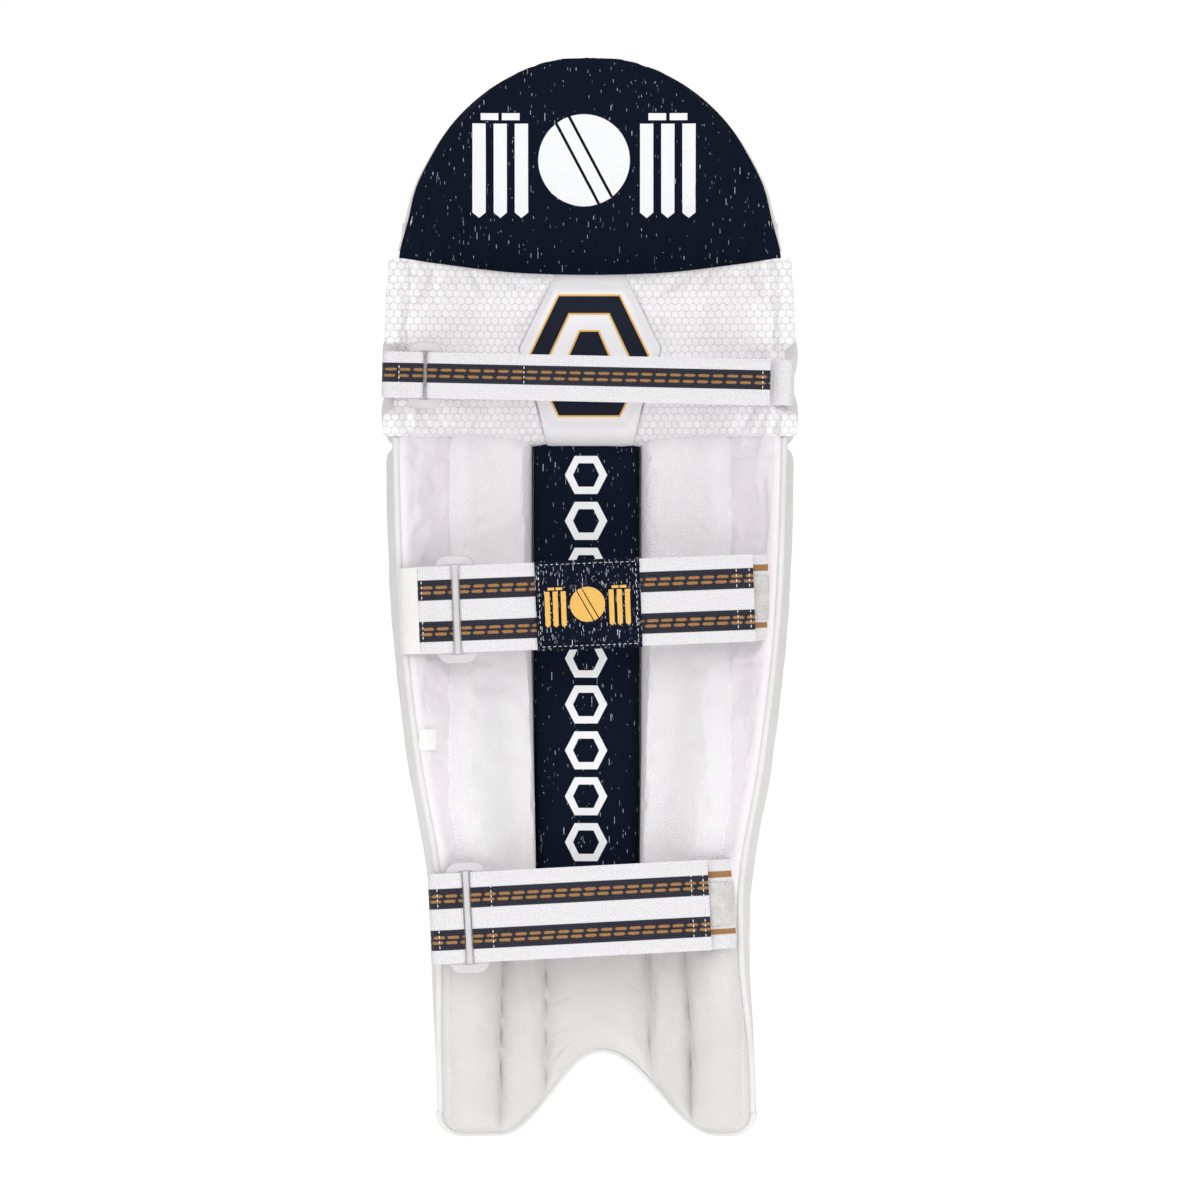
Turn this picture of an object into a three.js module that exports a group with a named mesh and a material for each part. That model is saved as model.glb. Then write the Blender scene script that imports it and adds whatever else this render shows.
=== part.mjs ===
// A cricket batting pad for one leg, in millimetres, +Z up. The leg is on the -Y side, the ball comes from +Y,
// and the origin is on the leg's centre line, level with the bottom of the pad's feet.
// Every padded piece lies on one curved board. A place on the board is given by across (the distance from the
// board's middle line, measured round its curve), by z, and by level: the distance from the board's middle
// surface, positive towards the ball and negative towards the leg.
import * as THREE from "three";

// ---- Driving dimensions -------------------------------------------------------------------------------
const padHeight = 680;
const boardY = 50; // from the leg's centre line to the front of the board
const kneeBottom = 437; // the three knee rolls begin here
const kneeTop = 553;
const flapHingeZ = 556; // the top flap bends here
const instepTop = 118.5; // the smooth instep lining ends here, behind the ankle strap

// The board's cross-section at several heights: half width of the flat front, radius of the bend beside it,
// angle of the wing after the bend, and half width at the wing's edge.
const sections = [
  { z: 0, flat: 40, bend: 70, angle: 26, edge: 97 },
  { z: 60, flat: 38, bend: 66, angle: 32, edge: 96.5 },
  { z: 110, flat: 32, bend: 54, angle: 43, edge: 94 },
  { z: 165, flat: 29, bend: 48, angle: 50, edge: 94.5 },
  { z: 240, flat: 32, bend: 52, angle: 52, edge: 107 },
  { z: 330, flat: 38, bend: 56, angle: 52, edge: 117 },
  { z: 437, flat: 42, bend: 60, angle: 51, edge: 121 },
  { z: 500, flat: 44, bend: 62, angle: 50, edge: 121 },
  { z: 556, flat: 46, bend: 64, angle: 46, edge: 118 },
  { z: 620, flat: 48, bend: 66, angle: 39, edge: 112 },
  { z: 680, flat: 50, bend: 70, angle: 32, edge: 104 },
];

const boardHalf = 2.5; // half the backing board's thickness
const layerGap = 1.4; // room left between stacked layers
const nextLevel = boardHalf + layerGap;
const clothThick = 1.5;
const binding = { radius: 2.5, clearance: 0.8 };
const instepShift = 4; // the feet sit this far towards +X

const arch = { x: 8, rise: 53, left: 66, right: 73, cornerRadius: 14 };
const shinChannels = 7;
const shinShare = 0.66; // the channelled front's share of the board's width
const channelHeight = 19;
const wingHeight = 9;
const kneeRollHeight = 27;

const strip = { left: -35.5, right: 31 }; // the speckled strip between the two shin bolsters
const bolster = { outer: 93, bottom: 120, top: kneeBottom - 1.5, inside: 25, outside: 13 };
const instepSeams = [-91, -59.5, -28, 37.5, 66.5, 98]; // seams between the instep's five foam channels
const cup = { widest: 500, half: 44, topHalf: 22, bottomHalf: 25 }; // the moulded knee cup, a hexagon

// Each strap: centre height, webbing width, tilt about Y in degrees, the ring's centre, half the ring's
// width, the gap between the two loops of webbing, where the free end stops, and the pile patches.
const straps = {
  knee: { z: 479, width: 29, tilt: 1.2, ringX: -103.6, half: 10.8, gap: 2, endX: 113, pileX: 66, pile: 16 },
  calf: { z: 336, width: 54, tilt: -2.5, ringX: -84, half: 12.8, gap: 4.7, endX: 103, pileX: 56, pile: 29 },
  ankle: { z: 142, width: 56, tilt: -1.8, ringX: -77, half: 12.8, gap: 4.8, endX: 75, pileX: 28, pile: 29 },
};
const webbing = 1.4;
const ring = { thick: 3.2, bevel: 1, capDepth: 6.5, clearance: 0.8 };
const loopHalf = 2; // half the space inside a loop of webbing round a ring bar
const strapStandOff = 8; // the straps' plane lies this far behind the wing edges
const badge = { left: -34, right: 32, thick: 1.2 };
const tabLabel = { width: 11, thick: 0.8 };
const careLabel = { z: 253, half: 8, thick: 0.8 };

// ---- Materials ----------------------------------------------------------------------------------------
function finish(color, roughness = 0.85) {
  return new THREE.MeshStandardMaterial({ color, roughness, metalness: 0 });
}
const whiteLeather = finish("#e4e3e1", 0.5);
const whiteMesh = finish("#e6e3e6");
const lilacLining = finish("#e0dbdf", 0.75);
const speckledNavy = finish("#171e2d");
const whiteWebbing = finish("#e8e6e9");
const clearPlastic = finish("#cccbcb", 0.35);
const boardCloth = finish("#d8d6d0");
const cane = finish("#c9a66b", 0.6);
const foam = finish("#efe9dc");
const greyPile = finish("#cdccc9", 0.95);
const labelSatin = finish("#f1f0ee", 0.7);

// ---- The curved board ---------------------------------------------------------------------------------
const { clamp, lerp, degToRad, mapLinear, smoothstep } = THREE.MathUtils;

// One measure of the cross-section at height z, on a smooth curve through the given sections.
function measure(name, z) {
  const last = sections.length - 1;
  const height = clamp(z, sections[0].z, sections[last].z);
  const i = Math.max(0, sections.findIndex((s) => s.z >= height) - 1);
  const slope = (k) => {
    const before = sections[Math.max(k - 1, 0)];
    const after = sections[Math.min(k + 1, last)];
    return (after[name] - before[name]) / (after.z - before.z);
  };
  const [lower, upper] = [sections[i], sections[i + 1]];
  const span = upper.z - lower.z;
  const t = (height - lower.z) / span;
  const level = lerp(lower[name], upper[name], t * t * (3 - 2 * t));
  return level + t * (1 - t) * span * ((1 - t) * slope(i) - t * slope(i + 1));
}

// The point on the board's curve at a distance from its middle line, and the angle the board has there.
function curvePoint(across, z) {
  const flat = measure("flat", z);
  const bend = measure("bend", z);
  const wingAngle = degToRad(measure("angle", z));
  const distance = Math.abs(across);
  const angle = clamp((distance - flat) / bend, 0, wingAngle);
  const straight = Math.max(0, distance - flat - bend * wingAngle);
  const x = Math.min(distance, flat) + bend * Math.sin(angle) + straight * Math.cos(angle);
  const y = -bend * (1 - Math.cos(angle)) - straight * Math.sin(angle);
  return { x, y, angle };
}

// The distance across the board at which its curve reaches this x.
function acrossTo(x, z) {
  const flat = measure("flat", z);
  const bend = measure("bend", z);
  const wingAngle = degToRad(measure("angle", z));
  const sideways = Math.abs(x) - flat;
  const bendEnd = bend * Math.sin(wingAngle);
  if (sideways <= 0) return x;
  if (sideways < bendEnd) return Math.sign(x) * (flat + bend * Math.asin(sideways / bend));
  return Math.sign(x) * (flat + bend * wingAngle + (sideways - bendEnd) / Math.cos(wingAngle));
}

// Side view of the board's front: the instep flares forward over the shoe and the top leans back.
function frontY(z) {
  const flare = 14 * Math.max(0, 1 - z / 130) ** 2;
  const lean = 15 * Math.max(0, (z - 530) / 150) ** 2;
  return boardY + flare - lean;
}

// The feet are a little off the middle of the rest.
function middleX(z) {
  return instepShift * (1 - smoothstep(z, 20, 130));
}

// The place in space at this distance across the board, at this height and level.
function onBoard(across, z, level = 0) {
  const { x, y, angle } = curvePoint(across, z);
  const side = across < 0 ? -1 : 1;
  return new THREE.Vector3(
    middleX(z) + side * (x + level * Math.sin(angle)),
    frontY(z) + y + level * Math.cos(angle),
    z,
  );
}

const halfWidth = (z) => acrossTo(measure("edge", z), z);
const leftEdge = (z) => -halfWidth(z);
const rightEdge = (z) => halfWidth(z);

// Lower outline of the pad: an arch over the shoe, and a round corner on each foot.
function bottomZ(x) {
  const reach = x < arch.x ? arch.left : arch.right;
  const share = Math.min(1, Math.abs(x - arch.x) / reach);
  const archZ = arch.rise * 0.5 * (1 + Math.cos(Math.PI * share));
  const fromEdge = Math.max(0, sections[0].edge - Math.abs(x - instepShift));
  const inside = Math.max(0, arch.cornerRadius - fromEdge);
  return archZ + arch.cornerRadius - Math.sqrt(arch.cornerRadius ** 2 - inside ** 2);
}

// Bottom of every layer above the piping that runs round the arch.
function footZ(x) {
  const slope = clamp((bottomZ(x + 1) - bottomZ(x - 1)) / 2, -1.5, 1.5);
  return bottomZ(x) + binding.radius + (binding.radius + binding.clearance) * Math.hypot(1, slope);
}

// ---- Padded pieces ------------------------------------------------------------------------------------
// A closed piece of padding: a box whose columns run across the board and whose rows run up it. left and
// right are distances across, as functions of z; bottom and top are numbers or functions of x; low and high
// are the levels of the leg side and the ball side, as numbers or functions of (u, v, x, z).
function padding({ left, right, bottom, top, low, high, columns, rows }) {
  const value = (f, ...at) => (typeof f === "function" ? f(...at) : f);
  const geometry = new THREE.BoxGeometry(1, 1, 1, columns, 1, rows);
  const corner = geometry.attributes.position;
  for (let i = 0; i < corner.count; i++) {
    const u = corner.getX(i) + 0.5;
    const v = corner.getZ(i) + 0.5;
    const side = corner.getY(i) > 0 ? high : low;
    let z = lerp(value(bottom, 0), value(top, 0), v);
    for (let pass = 0; pass < 3; pass++) {
      const { x } = onBoard(lerp(left(z), right(z), u), z);
      z = lerp(value(bottom, x), value(top, x), v);
    }
    const across = lerp(left(z), right(z), u);
    const { x } = onBoard(across, z);
    corner.setXYZ(i, ...onBoard(across, z, value(side, u, v, x, z)));
  }
  return geometry;
}

// Height of a stuffed piece across its width: 0 at both sides and 1 in the middle. More power is flatter.
function crown(u, power = 2.5) {
  return 1 - Math.abs(2 * u - 1) ** power;
}

// Height across a row of equal sewn channels.
function channels(u, count) {
  return Math.sqrt(Math.abs(Math.sin(Math.PI * u * count)));
}

// Piping along a path.
function piping(points, steps) {
  const section = new THREE.Shape();
  const sides = 6;
  for (let i = 0; i < sides; i++) {
    const turn = (i * 2 * Math.PI) / sides;
    section.lineTo(binding.radius * Math.cos(turn), binding.radius * Math.sin(turn));
  }
  const extrudePath = new THREE.CatmullRomCurve3(points);
  return new THREE.ExtrudeGeometry(section, { extrudePath, steps, bevelEnabled: false });
}

// ---- Straps -------------------------------------------------------------------------------------------
// An outline in X and Y, extruded to the webbing's width and centred on z = 0.
function alongWidth(shape, width) {
  const made = { depth: width, curveSegments: 6, bevelEnabled: false };
  return new THREE.ExtrudeGeometry(shape, made).translate(0, 0, -width / 2);
}

// A flat length of webbing, patch or label between two x values, with its middle at y.
function flatBand(x0, x1, y, thick, width) {
  return new THREE.BoxGeometry(x1 - x0, thick, width).translate((x0 + x1) / 2, y, 0);
}

// Sizes that follow from a ring's outside half width and the gap between its two loops.
function ringSizes({ half, gap }) {
  const bar = half - (webbing + 0.4) - gap / 2;
  const barX = half - bar / 2;
  const loopLength = bar / 2 + 0.4 - loopHalf; // straight part of a loop, each side of the bar's middle
  return { bar, barX, loopLength, bendX: barX - 1 };
}

// A moulded plastic ring with two flat bars and two rounded ends.
function ringGeometry({ half, gap, width }) {
  const { bar } = ringSizes({ half, gap });
  const inset = ring.bevel;
  const corner = half * 0.5;
  const right = half - inset;
  const top = width / 2 + ring.capDepth - inset;
  const outline = new THREE.Shape();
  outline.moveTo(right, corner - top);
  outline.lineTo(right, top - corner);
  outline.quadraticCurveTo(right, top, right - corner, top);
  outline.lineTo(corner - right, top);
  outline.quadraticCurveTo(-right, top, -right, top - corner);
  outline.lineTo(-right, corner - top);
  outline.quadraticCurveTo(-right, -top, corner - right, -top);
  outline.lineTo(right - corner, -top);
  outline.quadraticCurveTo(right, -top, right, corner - top);
  const holeX = half - bar + inset;
  const holeZ = width / 2 + ring.clearance + inset;
  const hole = new THREE.Path();
  hole.moveTo(-holeX, -holeZ);
  hole.lineTo(-holeX, holeZ);
  hole.lineTo(holeX, holeZ);
  hole.lineTo(holeX, -holeZ);
  hole.closePath();
  outline.holes.push(hole);
  const geometry = new THREE.ExtrudeGeometry(outline, {
    depth: ring.thick - 2 * ring.bevel,
    bevelThickness: ring.bevel,
    bevelSize: ring.bevel,
    bevelSegments: 1,
    curveSegments: 3,
  });
  return geometry.translate(0, 0, ring.bevel - ring.thick / 2).rotateX(Math.PI / 2);
}

// The sewn tab: two layers from the wing's edge that part to hold the ring's left bar. rootX is its left end.
function tabShape({ barX, loopLength }, rootX) {
  const outer = loopHalf + webbing;
  const neck = -barX - loopLength - outer - 3;
  const shape = new THREE.Shape();
  shape.moveTo(rootX, -webbing);
  shape.lineTo(neck, -webbing);
  shape.quadraticCurveTo(neck + outer, -webbing, -barX - loopLength, -outer);
  shape.lineTo(loopLength - barX, -outer);
  shape.absarc(loopLength - barX, 0, outer, -Math.PI / 2, Math.PI / 2, false);
  shape.lineTo(-barX - loopLength, outer);
  shape.quadraticCurveTo(neck + outer, webbing, neck, webbing);
  shape.lineTo(rootX, webbing);
  shape.closePath();
  const hole = new THREE.Path();
  hole.absarc(-barX - loopLength, 0, loopHalf, Math.PI / 2, 1.5 * Math.PI, false);
  hole.absarc(loopLength - barX, 0, loopHalf, -Math.PI / 2, Math.PI / 2, false);
  hole.closePath();
  shape.holes.push(hole);
  return shape;
}

// The half turn of webbing round the ring's right bar, between the under layer and the free end.
function bendShape({ barX, loopLength, bendX }) {
  const outer = loopHalf + webbing;
  const turnX = barX - loopLength;
  const shape = new THREE.Shape();
  shape.moveTo(bendX, outer);
  shape.absarc(turnX, 0, outer, Math.PI / 2, 1.5 * Math.PI, false);
  shape.lineTo(bendX, -outer);
  shape.lineTo(bendX, -loopHalf);
  shape.absarc(turnX, 0, loopHalf, 1.5 * Math.PI, Math.PI / 2, true);
  shape.lineTo(bendX, loopHalf);
  shape.closePath();
  return shape;
}

// ---- Assembly -----------------------------------------------------------------------------------------
const pad = new THREE.Group();

function add(name, geometry, material, parent = pad) {
  const mesh = new THREE.Mesh(geometry, material);
  mesh.name = name;
  parent.add(mesh);
  return mesh;
}

function backingBoard() {
  add(
    "backing_board",
    padding({
      left: leftEdge,
      right: rightEdge,
      bottom: footZ,
      top: kneeTop,
      low: -boardHalf,
      high: boardHalf,
      columns: 18,
      rows: 10,
    }),
    boardCloth,
  );
}

// The ball side below the knee: a channelled leather face with a cane rod in each channel, and two wings.
function shinFront() {
  const top = kneeBottom - 2;
  const half = (z) => shinShare * halfWidth(z);
  const height = (u) => nextLevel + clothThick + 0.4 + channelHeight * channels(u, shinChannels);
  add(
    "shin_face_cover",
    padding({
      left: (z) => -half(z),
      right: half,
      bottom: footZ,
      top,
      low: (u) => height(u) - clothThick,
      high: height,
      columns: shinChannels * 4,
      rows: 7,
    }),
    whiteLeather,
  );
  for (let i = 0; i < shinChannels; i++) {
    const rodSide = (share) => (z) => half(z) * (2 * ((i + share) / shinChannels) - 1);
    add(
      `cane_rod_${i + 1}`,
      padding({
        left: rodSide(0.24),
        right: rodSide(0.76),
        bottom: (x) => footZ(x) + 12,
        top: top - 8,
        low: nextLevel,
        high: (u) => nextLevel + 6 + (channelHeight - 12) * crown(u, 2),
        columns: 4,
        rows: 7,
      }),
      cane,
    );
  }
  const seam = 1.5;
  for (const [name, left, right] of [
    ["left_wing", leftEdge, (z) => -half(z) - seam],
    ["right_wing", (z) => half(z) + seam, rightEdge],
  ]) {
    const high = (u) => nextLevel + 1.5 + wingHeight * channels(u, 2) ** 0.8;
    add(name, padding({ left, right, bottom: footZ, top, low: nextLevel, high, columns: 8, rows: 9 }), whiteLeather);
  }
}

// Three horizontal rolls over the knee.
function kneeRolls() {
  const names = ["knee_roll_lower", "knee_roll_middle", "knee_roll_upper"];
  const step = (kneeTop - kneeBottom) / names.length;
  names.forEach((name, i) => {
    add(
      name,
      padding({
        left: leftEdge,
        right: rightEdge,
        bottom: kneeBottom + i * step + 0.5,
        top: kneeBottom + (i + 1) * step - 0.5,
        low: nextLevel,
        high: (u, v) => nextLevel + 2.5 + kneeRollHeight * crown(v, 2) * (0.2 + 0.8 * crown(u, 6)),
        columns: 16,
        rows: 5,
      }),
      whiteLeather,
    );
  });
}

// One foam bolster and its mesh cover, and the thin lining between the bolster and the wing's edge.
function bolsterSide(name, side) {
  const innerX = side < 0 ? strip.left - 0.8 : strip.right + 0.8;
  const outerX = (z) => side * Math.min(bolster.outer, measure("edge", z) - 9);
  const outer = (inset) => (z) => acrossTo(outerX(z), z) - side * inset;
  const inner = (inset) => () => innerX + side * inset;
  const sides = (inset) =>
    side < 0 ? { left: outer(inset), right: inner(inset) } : { left: inner(inset), right: outer(inset) };
  const fill = (u, v) => {
    const fromStrip = side < 0 ? 1 - u : u;
    const thick = lerp(bolster.inside, bolster.outside, fromStrip);
    return thick * (0.3 + 0.7 * crown(u, 5)) * (0.45 + 0.55 * crown(v, 10));
  };
  add(
    `${name}_bolster_cover`,
    padding({
      ...sides(0),
      bottom: bolster.bottom,
      top: bolster.top,
      low: (u, v) => -nextLevel - clothThick - fill(u, v),
      high: (u, v) => -nextLevel - fill(u, v),
      columns: 7,
      rows: 9,
    }),
    whiteMesh,
  );
  add(
    `${name}_bolster_foam`,
    padding({
      ...sides(2.5),
      bottom: bolster.bottom + 4,
      top: bolster.top - 4,
      low: (u, v) => -nextLevel + 0.8 - 0.88 * fill(u, v),
      high: 0.3 - nextLevel,
      columns: 6,
      rows: 8,
    }),
    foam,
  );
  const gutter = (z) => acrossTo(outerX(z), z) + side * 1.2;
  add(
    `${name}_lining`,
    padding({
      left: side < 0 ? leftEdge : gutter,
      right: side < 0 ? gutter : rightEdge,
      bottom: bolster.bottom,
      top: kneeBottom - 1.5,
      low: -nextLevel - clothThick,
      high: -nextLevel,
      columns: 2,
      rows: 10,
    }),
    lilacLining,
  );
}

function centreStrip() {
  add(
    "centre_strip",
    padding({
      left: () => strip.left,
      right: () => strip.right,
      bottom: bolster.bottom,
      top: bolster.top,
      low: (u, v) => -nextLevel - 4 - 11 * crown(u, 6) * crown(v, 10),
      high: -nextLevel,
      columns: 6,
      rows: 8,
    }),
    speckledNavy,
  );
}

// The smooth leather lining of the instep, with a foam channel between each pair of seams.
function instepLining() {
  const level = (x) => {
    const after = instepSeams.findIndex((seam) => seam > x);
    const i = clamp(after < 0 ? instepSeams.length : after, 1, instepSeams.length - 1);
    const share = mapLinear(x, instepSeams[i - 1], instepSeams[i], 0, 1);
    return -nextLevel - 2.5 - 8 * channels(clamp(share, 0, 1), 1);
  };
  add(
    "instep_lining",
    padding({
      left: leftEdge,
      right: rightEdge,
      bottom: footZ,
      top: instepTop,
      low: (u, v, x) => level(x),
      high: -nextLevel,
      columns: 26,
      rows: 4,
    }),
    whiteLeather,
  );
}

// Half width of the moulded cup over the knee: a hexagon, widest level with the knee strap.
function cupHalf(z) {
  return z > cup.widest
    ? mapLinear(z, cup.widest, kneeTop, cup.half, cup.topHalf)
    : mapLinear(z, kneeBottom, cup.widest, cup.bottomHalf, cup.half);
}

// The knee cushion: one foam block under two honeycomb-mesh covers and the moulded cup between them.
function kneeCushion() {
  const top = kneeTop - 1;
  const fill = (x, z) => {
    const toEdge = Math.min(1, Math.abs(x) / measure("edge", z));
    const upward = (z - kneeBottom) / (top - kneeBottom);
    return lerp(31, 9, toEdge ** 2) * (0.35 + 0.65 * (1 - toEdge ** 8)) * (0.5 + 0.5 * crown(upward, 4));
  };
  const cover = (left, right, extra, columns) =>
    padding({
      left,
      right,
      bottom: kneeBottom,
      top,
      low: (u, v, x, z) => -nextLevel - clothThick - extra - fill(x, z),
      high: (u, v, x, z) => -nextLevel - fill(x, z),
      columns,
      rows: 6,
    });
  const seam = 0.7;
  add("left_knee_cover", cover(leftEdge, (z) => -cupHalf(z) - seam, 0, 7), whiteMesh);
  add("right_knee_cover", cover((z) => cupHalf(z) + seam, rightEdge, 0, 7), whiteMesh);
  add("knee_cup", cover((z) => -cupHalf(z), cupHalf, 2.5, 6), whiteLeather);
  const inset = 9;
  add(
    "knee_foam",
    padding({
      left: (z) => leftEdge(z) + inset,
      right: (z) => rightEdge(z) - inset,
      bottom: kneeBottom + 5,
      top: top - 5,
      low: (u, v, x, z) => -nextLevel + 1.9 - 0.88 * fill(x, z),
      high: -nextLevel,
      columns: 18,
      rows: 5,
    }),
    foam,
  );
}

// The domed flap above the knee: channelled face, stiff board, padded speckled lining and its piping.
function topFlap() {
  const domeTop = padHeight - 2 * binding.radius - binding.clearance;
  const baseHalf = measure("edge", flapHingeZ);
  const domeHalf = (z) => {
    const share = clamp((z - flapHingeZ) / (domeTop - flapHingeZ), 0, 1);
    return baseHalf * (1 - 0.15 * share) * Math.sqrt(1 - share ** 2.8);
  };
  const topRow = domeTop - 1.5;
  const clearance = (x) => 13 * (x / baseHalf) ** 2; // room for the sides when the flap bends back
  const side = (sign) => (z) => acrossTo(sign * domeHalf(Math.min(z, topRow)), z);
  const layer = (more) => padding({ left: side(-1), right: side(1), top: topRow, rows: 7, ...more });
  const slim = boardHalf - 0.5;
  add(
    "top_flap_board",
    layer({ bottom: (x) => flapHingeZ + 2 + clearance(x), low: -slim, high: slim, columns: 12 }),
    boardCloth,
  );
  add(
    "top_flap_face",
    layer({
      bottom: (x) => flapHingeZ + 6 + clearance(x),
      low: nextLevel - 0.5,
      high: (u, v) => nextLevel + 1 + 13 * channels(u, shinChannels) * (0.25 + 0.75 * (1 - v ** 3)),
      columns: shinChannels * 3,
    }),
    whiteLeather,
  );
  add(
    "top_flap_lining",
    layer({
      bottom: (x) => flapHingeZ + 2 + clearance(x),
      low: (u, v) => -nextLevel - 1 - 6 * crown(u, 6) * (1 - v ** 4),
      high: -nextLevel,
      columns: 12,
    }),
    speckledNavy,
  );
  const outside = binding.radius + binding.clearance;
  const rimPlace = (sign, share) => {
    const z = lerp(flapHingeZ, domeTop, share);
    const slope = domeHalf(z + 0.5) - domeHalf(z - 0.5);
    const outward = new THREE.Vector2(1, -slope).normalize().multiplyScalar(outside);
    return onBoard(acrossTo(sign * (domeHalf(z) + outward.x), z), z + outward.y);
  };
  const shares = [0.17, 0.3, 0.44, 0.57, 0.69, 0.79, 0.88, 0.95, 0.985];
  const top = onBoard(0, domeTop + outside);
  const rim = [
    ...shares.map((share) => rimPlace(-1, share)),
    top,
    ...shares.toReversed().map((share) => rimPlace(1, share)),
  ];
  add("top_flap_binding", piping(rim, 28), whiteLeather);
}

// Rounded piping along both wing edges and round the arch.
function edgeBindings() {
  const outside = binding.radius + binding.clearance;
  for (const [name, side] of [
    ["left_edge_binding", -1],
    ["right_edge_binding", 1],
  ]) {
    const path = [];
    for (let i = 0; i <= 8; i++) {
      const z = lerp(26, kneeBottom - 5, i / 8);
      path.push(onBoard(side * (halfWidth(z) + outside), z));
    }
    add(name, piping(path, 14), whiteLeather);
  }
  const foot = [];
  const footHalf = sections[0].edge - arch.cornerRadius + 4;
  for (let i = 0; i <= 18; i++) {
    const x = instepShift + lerp(-footHalf, footHalf, i / 18);
    const z = bottomZ(x) + binding.radius;
    foot.push(onBoard(acrossTo(x - middleX(z), z), z));
  }
  add("arch_binding", piping(foot, 26), whiteLeather);
}

// One strap: tab, ring, under layer, bend, free end and the two pile patches that fasten it.
function strap(name, { z, width, tilt, ringX, half, gap, endX, pileX, pile }) {
  const heights = [z - width / 2, z, z + width / 2];
  const edge = Math.min(...heights.map((height) => measure("edge", height)));
  const edgeY = Math.min(...heights.map((height) => onBoard(halfWidth(height), height).y));
  const group = new THREE.Group();
  group.position.set(0, edgeY - strapStandOff, z);
  group.rotation.y = degToRad(tilt);
  pad.add(group);
  const atRing = new THREE.Group();
  atRing.position.x = ringX;
  group.add(atRing);

  const sizes = ringSizes({ half, gap });
  const rootX = 3 - edge;
  add(`${name}_strap_tab`, alongWidth(tabShape(sizes, rootX - ringX), width), whiteWebbing, atRing);
  add(`${name}_ring`, ringGeometry({ half, gap, width }), clearPlastic, atRing);
  add(`${name}_strap_bend`, alongWidth(bendShape(sizes), width), whiteWebbing, atRing);

  const layerY = loopHalf + webbing / 2;
  const startX = ringX + sizes.bendX + 0.4;
  const underEnd = edge - 7;
  add(`${name}_strap_under`, flatBand(startX, underEnd, layerY, webbing, width), whiteWebbing, group);
  add(`${name}_strap_end`, flatBand(startX, endX, -layerY, webbing, width), whiteWebbing, group);
  const pileThick = loopHalf - 0.6;
  const pileY = 0.3 + pileThick / 2;
  add(`${name}_hook_patch`, flatBand(pileX, endX - 3, -pileY, pileThick, pile), greyPile, group);
  add(`${name}_loop_patch`, flatBand(pileX - 20, underEnd - 2, pileY, pileThick, pile), greyPile, group);

  if (name !== "calf") return;
  const badgeY = -loopHalf - webbing - 0.4 - badge.thick / 2;
  add("calf_strap_badge", flatBand(badge.left, badge.right, badgeY, badge.thick, width), speckledNavy, group);
  const labelY = -webbing - 0.4 - tabLabel.thick / 2;
  const label = flatBand(rootX, rootX + tabLabel.width, labelY, tabLabel.thick, width);
  add("calf_tab_label", label, whiteLeather, group);
}

// A small sewn label on the left lining.
function careTag() {
  const level = -nextLevel - clothThick - 0.6;
  add(
    "care_label",
    padding({
      left: (z) => leftEdge(z) + 2,
      right: () => acrossTo(-bolster.outer, careLabel.z) - 1.5,
      bottom: careLabel.z - careLabel.half,
      top: careLabel.z + careLabel.half,
      low: level - careLabel.thick,
      high: level,
      columns: 2,
      rows: 1,
    }),
    labelSatin,
  );
}

backingBoard();
shinFront();
kneeRolls();
bolsterSide("left", -1);
bolsterSide("right", 1);
centreStrip();
instepLining();
kneeCushion();
topFlap();
edgeBindings();
for (const [name, sizes] of Object.entries(straps)) strap(name, sizes);
careTag();

export default pad;
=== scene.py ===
import functools
import math

import bmesh
import bpy
from mathutils import Matrix, Vector, noise
from mathutils.bvhtree import BVHTree


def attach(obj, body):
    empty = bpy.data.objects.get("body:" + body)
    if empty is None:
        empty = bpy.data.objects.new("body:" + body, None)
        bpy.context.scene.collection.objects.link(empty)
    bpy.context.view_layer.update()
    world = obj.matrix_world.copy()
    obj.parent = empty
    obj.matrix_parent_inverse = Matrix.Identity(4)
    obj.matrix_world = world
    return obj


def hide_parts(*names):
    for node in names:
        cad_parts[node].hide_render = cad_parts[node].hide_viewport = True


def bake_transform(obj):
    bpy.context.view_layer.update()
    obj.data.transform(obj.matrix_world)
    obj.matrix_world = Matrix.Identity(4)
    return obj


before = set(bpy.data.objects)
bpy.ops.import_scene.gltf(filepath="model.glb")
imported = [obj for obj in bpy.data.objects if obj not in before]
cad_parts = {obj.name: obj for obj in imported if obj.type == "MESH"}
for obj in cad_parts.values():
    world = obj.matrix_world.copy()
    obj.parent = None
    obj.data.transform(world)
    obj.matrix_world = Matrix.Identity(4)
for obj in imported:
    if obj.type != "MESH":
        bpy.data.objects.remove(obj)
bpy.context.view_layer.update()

mm = 0.001   # pieces are built in millimetres and made metres at the end
legSide, ballSide = -1, 1

# ---- maths ----

def lerp(a, b, t):
    return a + (b - a) * t

def clamp(value, low=0.0, high=1.0):
    return max(low, min(high, value))

def smooth(value, start, end):   # 0 before start, 1 after end
    t = clamp((value - start) / (end - start))
    return t * t * (3 - 2 * t)

def pillow(distance, radius):   # a round shoulder: 0 at a seam and 1 a radius away from it
    return math.sqrt(1 - (1 - clamp(distance / radius)) ** 2)

def at(value, *places):
    return value(*places) if callable(value) else value

def wander(x, z, size, seed=0.0):   # smooth noise from -1 to 1
    return noise.noise(Vector((x / size, z / size, seed)))

# ---- the curved board that every padded piece lies on ----
# across is measured round the curve from the middle line, level from the board's middle surface

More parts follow.
